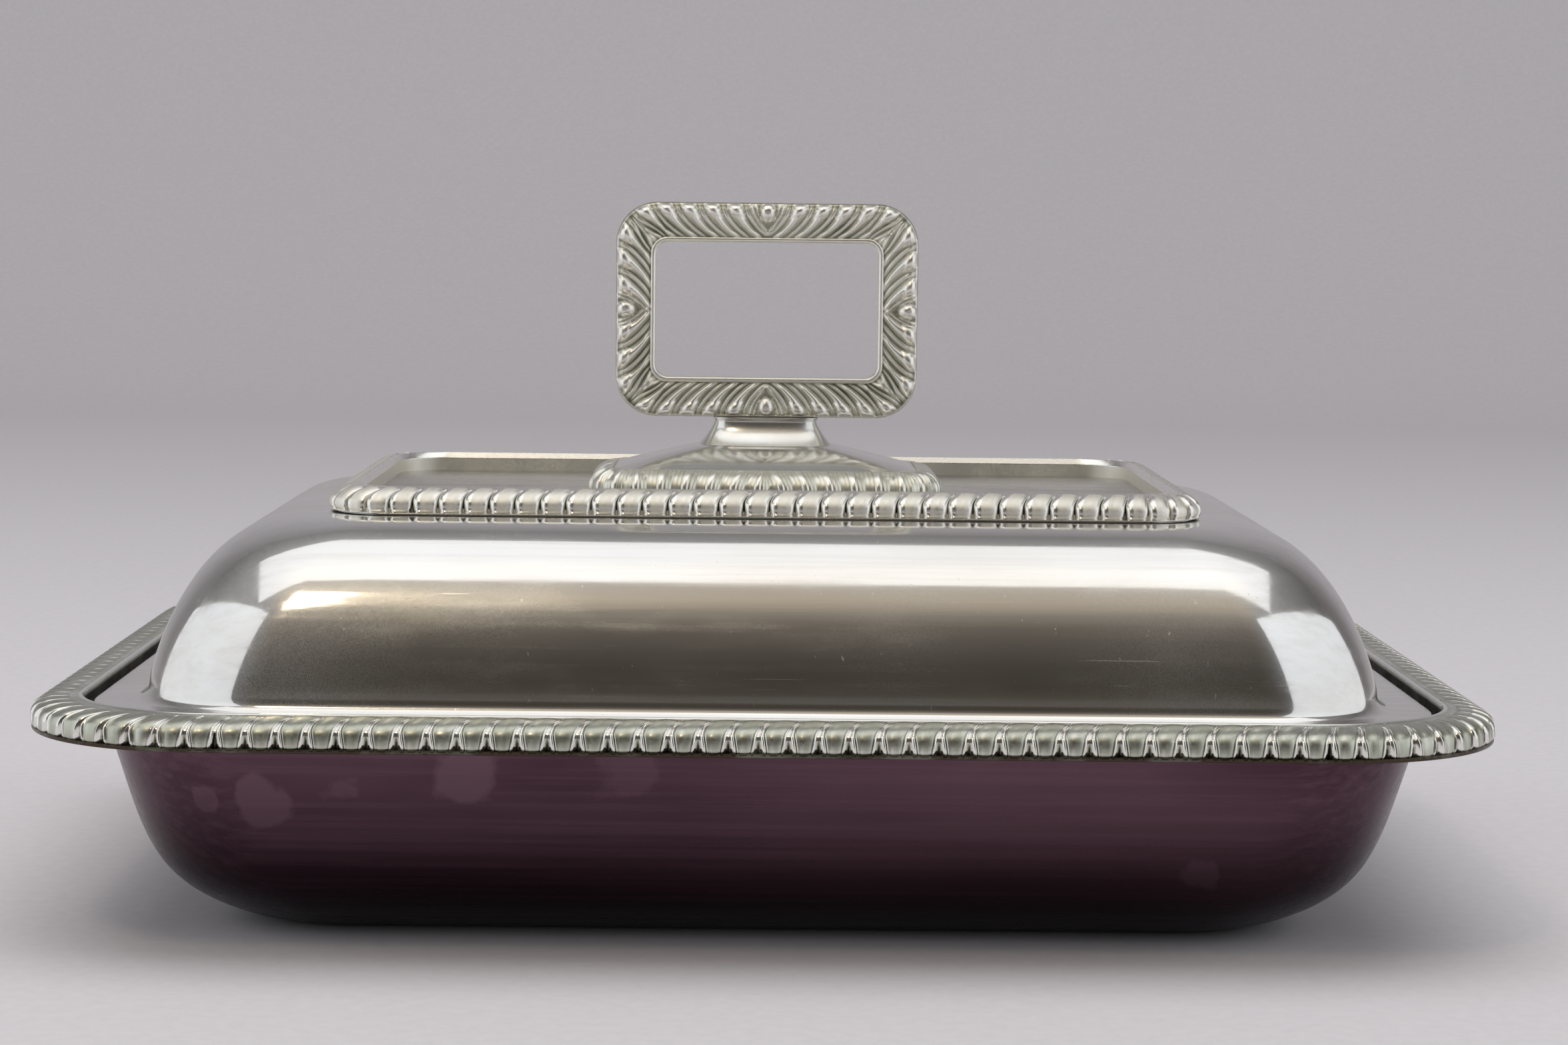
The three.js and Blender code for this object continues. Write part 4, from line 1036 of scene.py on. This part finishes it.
def footSection(size):
    # Rows across the foot's border, from the step for the plate up, over the lobes and under
    top, bottom, crest = size["top"], size["bottom"], size["top"] - size["drop"]
    before, beside, onLine = size["lineOut"]
    plateStep, plateTop = size["plateStep"], size["plateTop"]
    walls = ((plateStep, bottom), (plateStep, plateTop), (0, plateTop), (0, top), (before, top),
             (beside, top))
    rows = [(*wall, wallMark) for wall in walls] + [(onLine, top, landMark)]
    rows += lobeRows(size, footAngles)
    for share in (0.3, 0.6, 0.85):
        rows.append((size["width"] - size["endCurl"] * share ** 3, crest + (bottom - crest) * share, -share))
    rows.append((size["width"] - size["endStep"], bottom, stepMark))
    return np.array(rows)


def addFootBorder(size):
    # Lobes whose tops lean toward the middle of the front or back and away from the middles of
    # the ends, upright at those middles and at the corners
    path = borderPath(size)
    perQuarter = size["perQuarter"]
    pitch = path["starts"][-1] / 4 / perQuarter
    section = footSection(size)
    share, depth, dull = lobeGrid(size, section[:, 2], section[:, 1], 4 * perQuarter)
    share, depth, dull = share[:, :-1], depth[:, :-1], dull[:, :-1]  # the ring closes on itself
    out, height, angle = (section[:, part][:, None] for part in range(3))
    onLobe = (angle <= 90) & (angle >= -1)
    place = path["straightX"] + pitch * (share - 0.5)
    passed = np.mod((share - 0.5) / perQuarter, 1)
    tilt = -np.cos(passed * math.pi) * clamped(np.minimum(passed, 1 - passed) * perQuarter * 2)
    climb = clamped((angle - size["climbFrom"]) / (90 - size["climbFrom"])) ** size["climbPower"]
    place = place + size["lean"] * tilt * np.where(angle > 90, 1, climb)
    depth = depth * onLobe * clamped((96 - angle) / 14)  # shallower on the two highest rows
    normalOut, normalUp = sectionNormal(size, angle)
    onLine = angle == landMark
    centre, outward, spare = borderFrames(size, path, place)
    reach = size["innerRadius"] + out - depth * normalOut + spare
    level = height - depth * normalUp - size["lineDepth"] * onLine
    points = atHeight(centre + outward * reach[..., None], level)
    recess = np.where(onLobe, dull, size["landShade"]) + size["lineShade"] * onLine
    look = onHandle | {"material": handlePlate, "sharp": 62, "replaces": "handle_foot_border"}
    addPiece("handle_foot_gadroons", points, [gridFaces(*reach.shape, True, True)], look, {"recess": recess})


addNeck(neck)
addFootDome(footDome)
addFootBorder(footBorder)
print("handle neck and foot made")

# Lock fittings keep their solids
for name in ("socket_plate", "stop_pin_front", "stop_pin_back", "handle_foot_plate", "lock_stud",
             "lock_bar", "lock_nut"):
    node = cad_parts[name]
    node.data.materials.clear()
    node.data.materials.append(fittingMetal)
print("lock fittings finished")

# Floor, backdrop and lights, in metres and watts. A side panel has its side, the degrees it is
# turned from the front, and its height as a share of its distance.
studio = {
    "floorHalf": 4.5, "backdropY": 1.7, "backdropBend": 0.6, "backdropTop": 2.6, "frontEdge": -4.0,
    "overheadHeight": 1.24, "overheadFront": -0.53, "overheadBack": 0.445, "overheadHalf": 0.86,
    "overheadPower": 4.25,
    "fillPlace": (0, -0.2, 2.6), "fillWay": (0, 0.25, -1), "fillSize": (3.0, 2.0), "fillPower": 14,
    "lampPlace": (-0.315, -0.72, 1.05), "lampWay": (0.2, 0.62, -0.95), "lampUp": (0.25, 0.3, 1),
    "lampSize": (0.12, 0.17), "lampPower": 0.9, "lampColour": (1, 0.84, 0.6),
    "sideDistance": 1.0, "sideLow": -0.25, "sideHigh": 2.25, "sideRaise": 0.02, "sidePower": 7.4,
    "sideColour": (0.95, 0.97, 1), "sidePanels": {"side left": (-1, 53, 1.13), "side right": (1, 51, 1.18)},
    "paper": (0.78, 0.76, 0.8), "paperFibres": (0.82, 0.8, 0.84), "fibres": ((300, 300, 300), (0, 0, 0), 4),
    "fibreTint": (0.3, 0.7, 0, 1), "paperRough": 0.85,
}
# the room's glow from the horizon up, as the sine of the height and the colour there: in front
# of the dish, and to its sides and behind it
frontGlow = (
    (0.0, 0.17, 0.16, 0.15), (0.1, 0.12, 0.11, 0.1), (0.21, 0.07, 0.062, 0.05),
    (0.34, 0.054, 0.047, 0.037), (0.48, 0.06, 0.053, 0.044), (0.63, 0.1, 0.088, 0.074),
    (0.707, 0.145, 0.123, 0.104), (0.743, 0.2, 0.177, 0.15), (0.777, 0.255, 0.226, 0.19),
    (0.809, 0.385, 0.335, 0.27), (0.85, 0.51, 0.44, 0.35), (1.0, 0.45, 0.43, 0.4))
sideGlow = (
    (0.0, 0.12, 0.11, 0.1), (0.3, 0.08, 0.075, 0.07), (0.6, 0.14, 0.135, 0.13), (0.85, 0.28, 0.275, 0.275),
    (1.0, 0.3, 0.3, 0.3))


def addStage(size):
    # A floor that bends up into a backdrop behind the dish, drawn as one strip
    flat = np.linspace(size["frontEdge"], size["backdropY"], 12)
    bend = quarterTurn(13)
    radius = size["backdropBend"]
    lineY = np.concatenate([flat, size["backdropY"] + radius * np.sin(bend), [size["backdropY"] + radius]])
    lineZ = np.concatenate([np.zeros(len(flat)), radius * (1 - np.cos(bend)), [size["backdropTop"]]])
    across = np.linspace(-size["floorHalf"], size["floorHalf"], 3)
    points = np.stack(np.broadcast_arrays(across[None, :], lineY[:, None], lineZ[:, None]), axis=-1)
    mesh = bpy.data.meshes.new("floor")
    mesh.from_pydata(points.reshape(-1, 3).tolist(), [], gridFaces(len(lineY), 3, False, False).tolist())
    mesh.polygons.foreach_set("use_smooth", np.ones(len(mesh.polygons), bool))
    finish, tree, shader = newFinish("floor paper", metallic=0.0)
    shader.inputs["Roughness"].default_value = size["paperRough"]
    fibres = noises(tree, size, "fibres")[0]
    tint = blendColours(tree, toRange(tree, fibres, size["fibreTint"]), size["paper"], size["paperFibres"])
    tree.links.new(tint, shader.inputs["Base Color"])
    mesh.materials.append(finish)
    floor = bpy.data.objects.new("floor", mesh)
    bpy.context.scene.collection.objects.link(floor)


def addPanel(name, place, ahead, up, size, power, colour=(1, 1, 1)):
    light = bpy.data.lights.new(name, "AREA")
    light.shape = "RECTANGLE"
    light.size, light.size_y = size
    light.energy = power
    light.color = colour
    lamp = bpy.data.objects.new(name, light)
    bpy.context.scene.collection.objects.link(lamp)
    ahead = np.array(ahead, float) / np.linalg.norm(ahead)
    right = np.cross(ahead, up)
    right /= np.linalg.norm(right)
    lamp.matrix_world = facing([right, np.cross(right, ahead), -ahead], place)
    lamp.visible_camera = False
    return lamp


def addLights(size):
    front, back = size["overheadFront"], size["overheadBack"]
    low, high = size["sideLow"], size["sideHigh"]
    addPanel("overhead", (0, (front + back) / 2, size["overheadHeight"]), (0, 0, -1), (0, 1, 0),
             (2 * size["overheadHalf"], back - front), size["overheadPower"])
    addPanel("warm lamp", size["lampPlace"], size["lampWay"], size["lampUp"], size["lampSize"],
             size["lampPower"], size["lampColour"])
    # lights floor and backdrop only, and shows in no reflection
    fill = addPanel("fill", size["fillPlace"], size["fillWay"], (0, 1, 0), size["fillSize"],
                    size["fillPower"])
    fill.visible_glossy = False
    for name, (side, degrees, rise) in size["sidePanels"].items():
        turn, tall = math.radians(degrees), rise * size["sideDistance"]
        toward = np.array([side * math.sin(turn), -math.cos(turn), 0])
        along = np.array([side * math.cos(turn), math.sin(turn), 0])
        place = toward * size["sideDistance"] + along * (low + high) / 2
        place = place + np.array([0, 0, size["sideRaise"] + tall / 2])
        addPanel(name, place, -toward, (0, 0, 1), (high - low, tall), size["sidePower"], size["sideColour"])


def addRamp(tree, value, glow):
    ramp = addNode(tree, "ShaderNodeValToRGB", None, {"Fac": value})
    stops = ramp.color_ramp.elements
    while len(stops) < len(glow):
        stops.new(0.5)
    for stop, (place, *colour) in zip(stops, glow):
        stop.position = place
        stop.color = (*colour, 1)
    return ramp.outputs["Color"]


def addRoom(front, sides):
    # A dim room that brightens from the horizon up to the ceiling round the overhead panel,
    # most of all in front of the dish
    world = bpy.data.worlds.new("room")
    bpy.context.scene.world = world
    world.use_nodes = True
    tree = world.node_tree
    way = addNode(tree, "ShaderNodeSeparateXYZ", None, {
        "Vector": addNode(tree, "ShaderNodeTexCoord").outputs["Generated"]}).outputs
    aside = toRange(tree, joinValues(tree, "MULTIPLY", way["X"], way["X"]), (0.06, 0.2, 0, 1))
    behind = toRange(tree, way["Y"], (-0.15, 0.05, 0, 1))
    share = joinValues(tree, "MAXIMUM", aside, behind)
    glow = blendColours(tree, share, addRamp(tree, way["Z"], front), addRamp(tree, way["Z"], sides))
    tree.links.new(glow, tree.nodes["Background"].inputs["Color"])


addStage(studio)
addLights(studio)
addRoom(frontGlow, sideGlow)
bpy.context.scene.view_settings.view_transform = "Standard"
print("floor, backdrop and lights set")
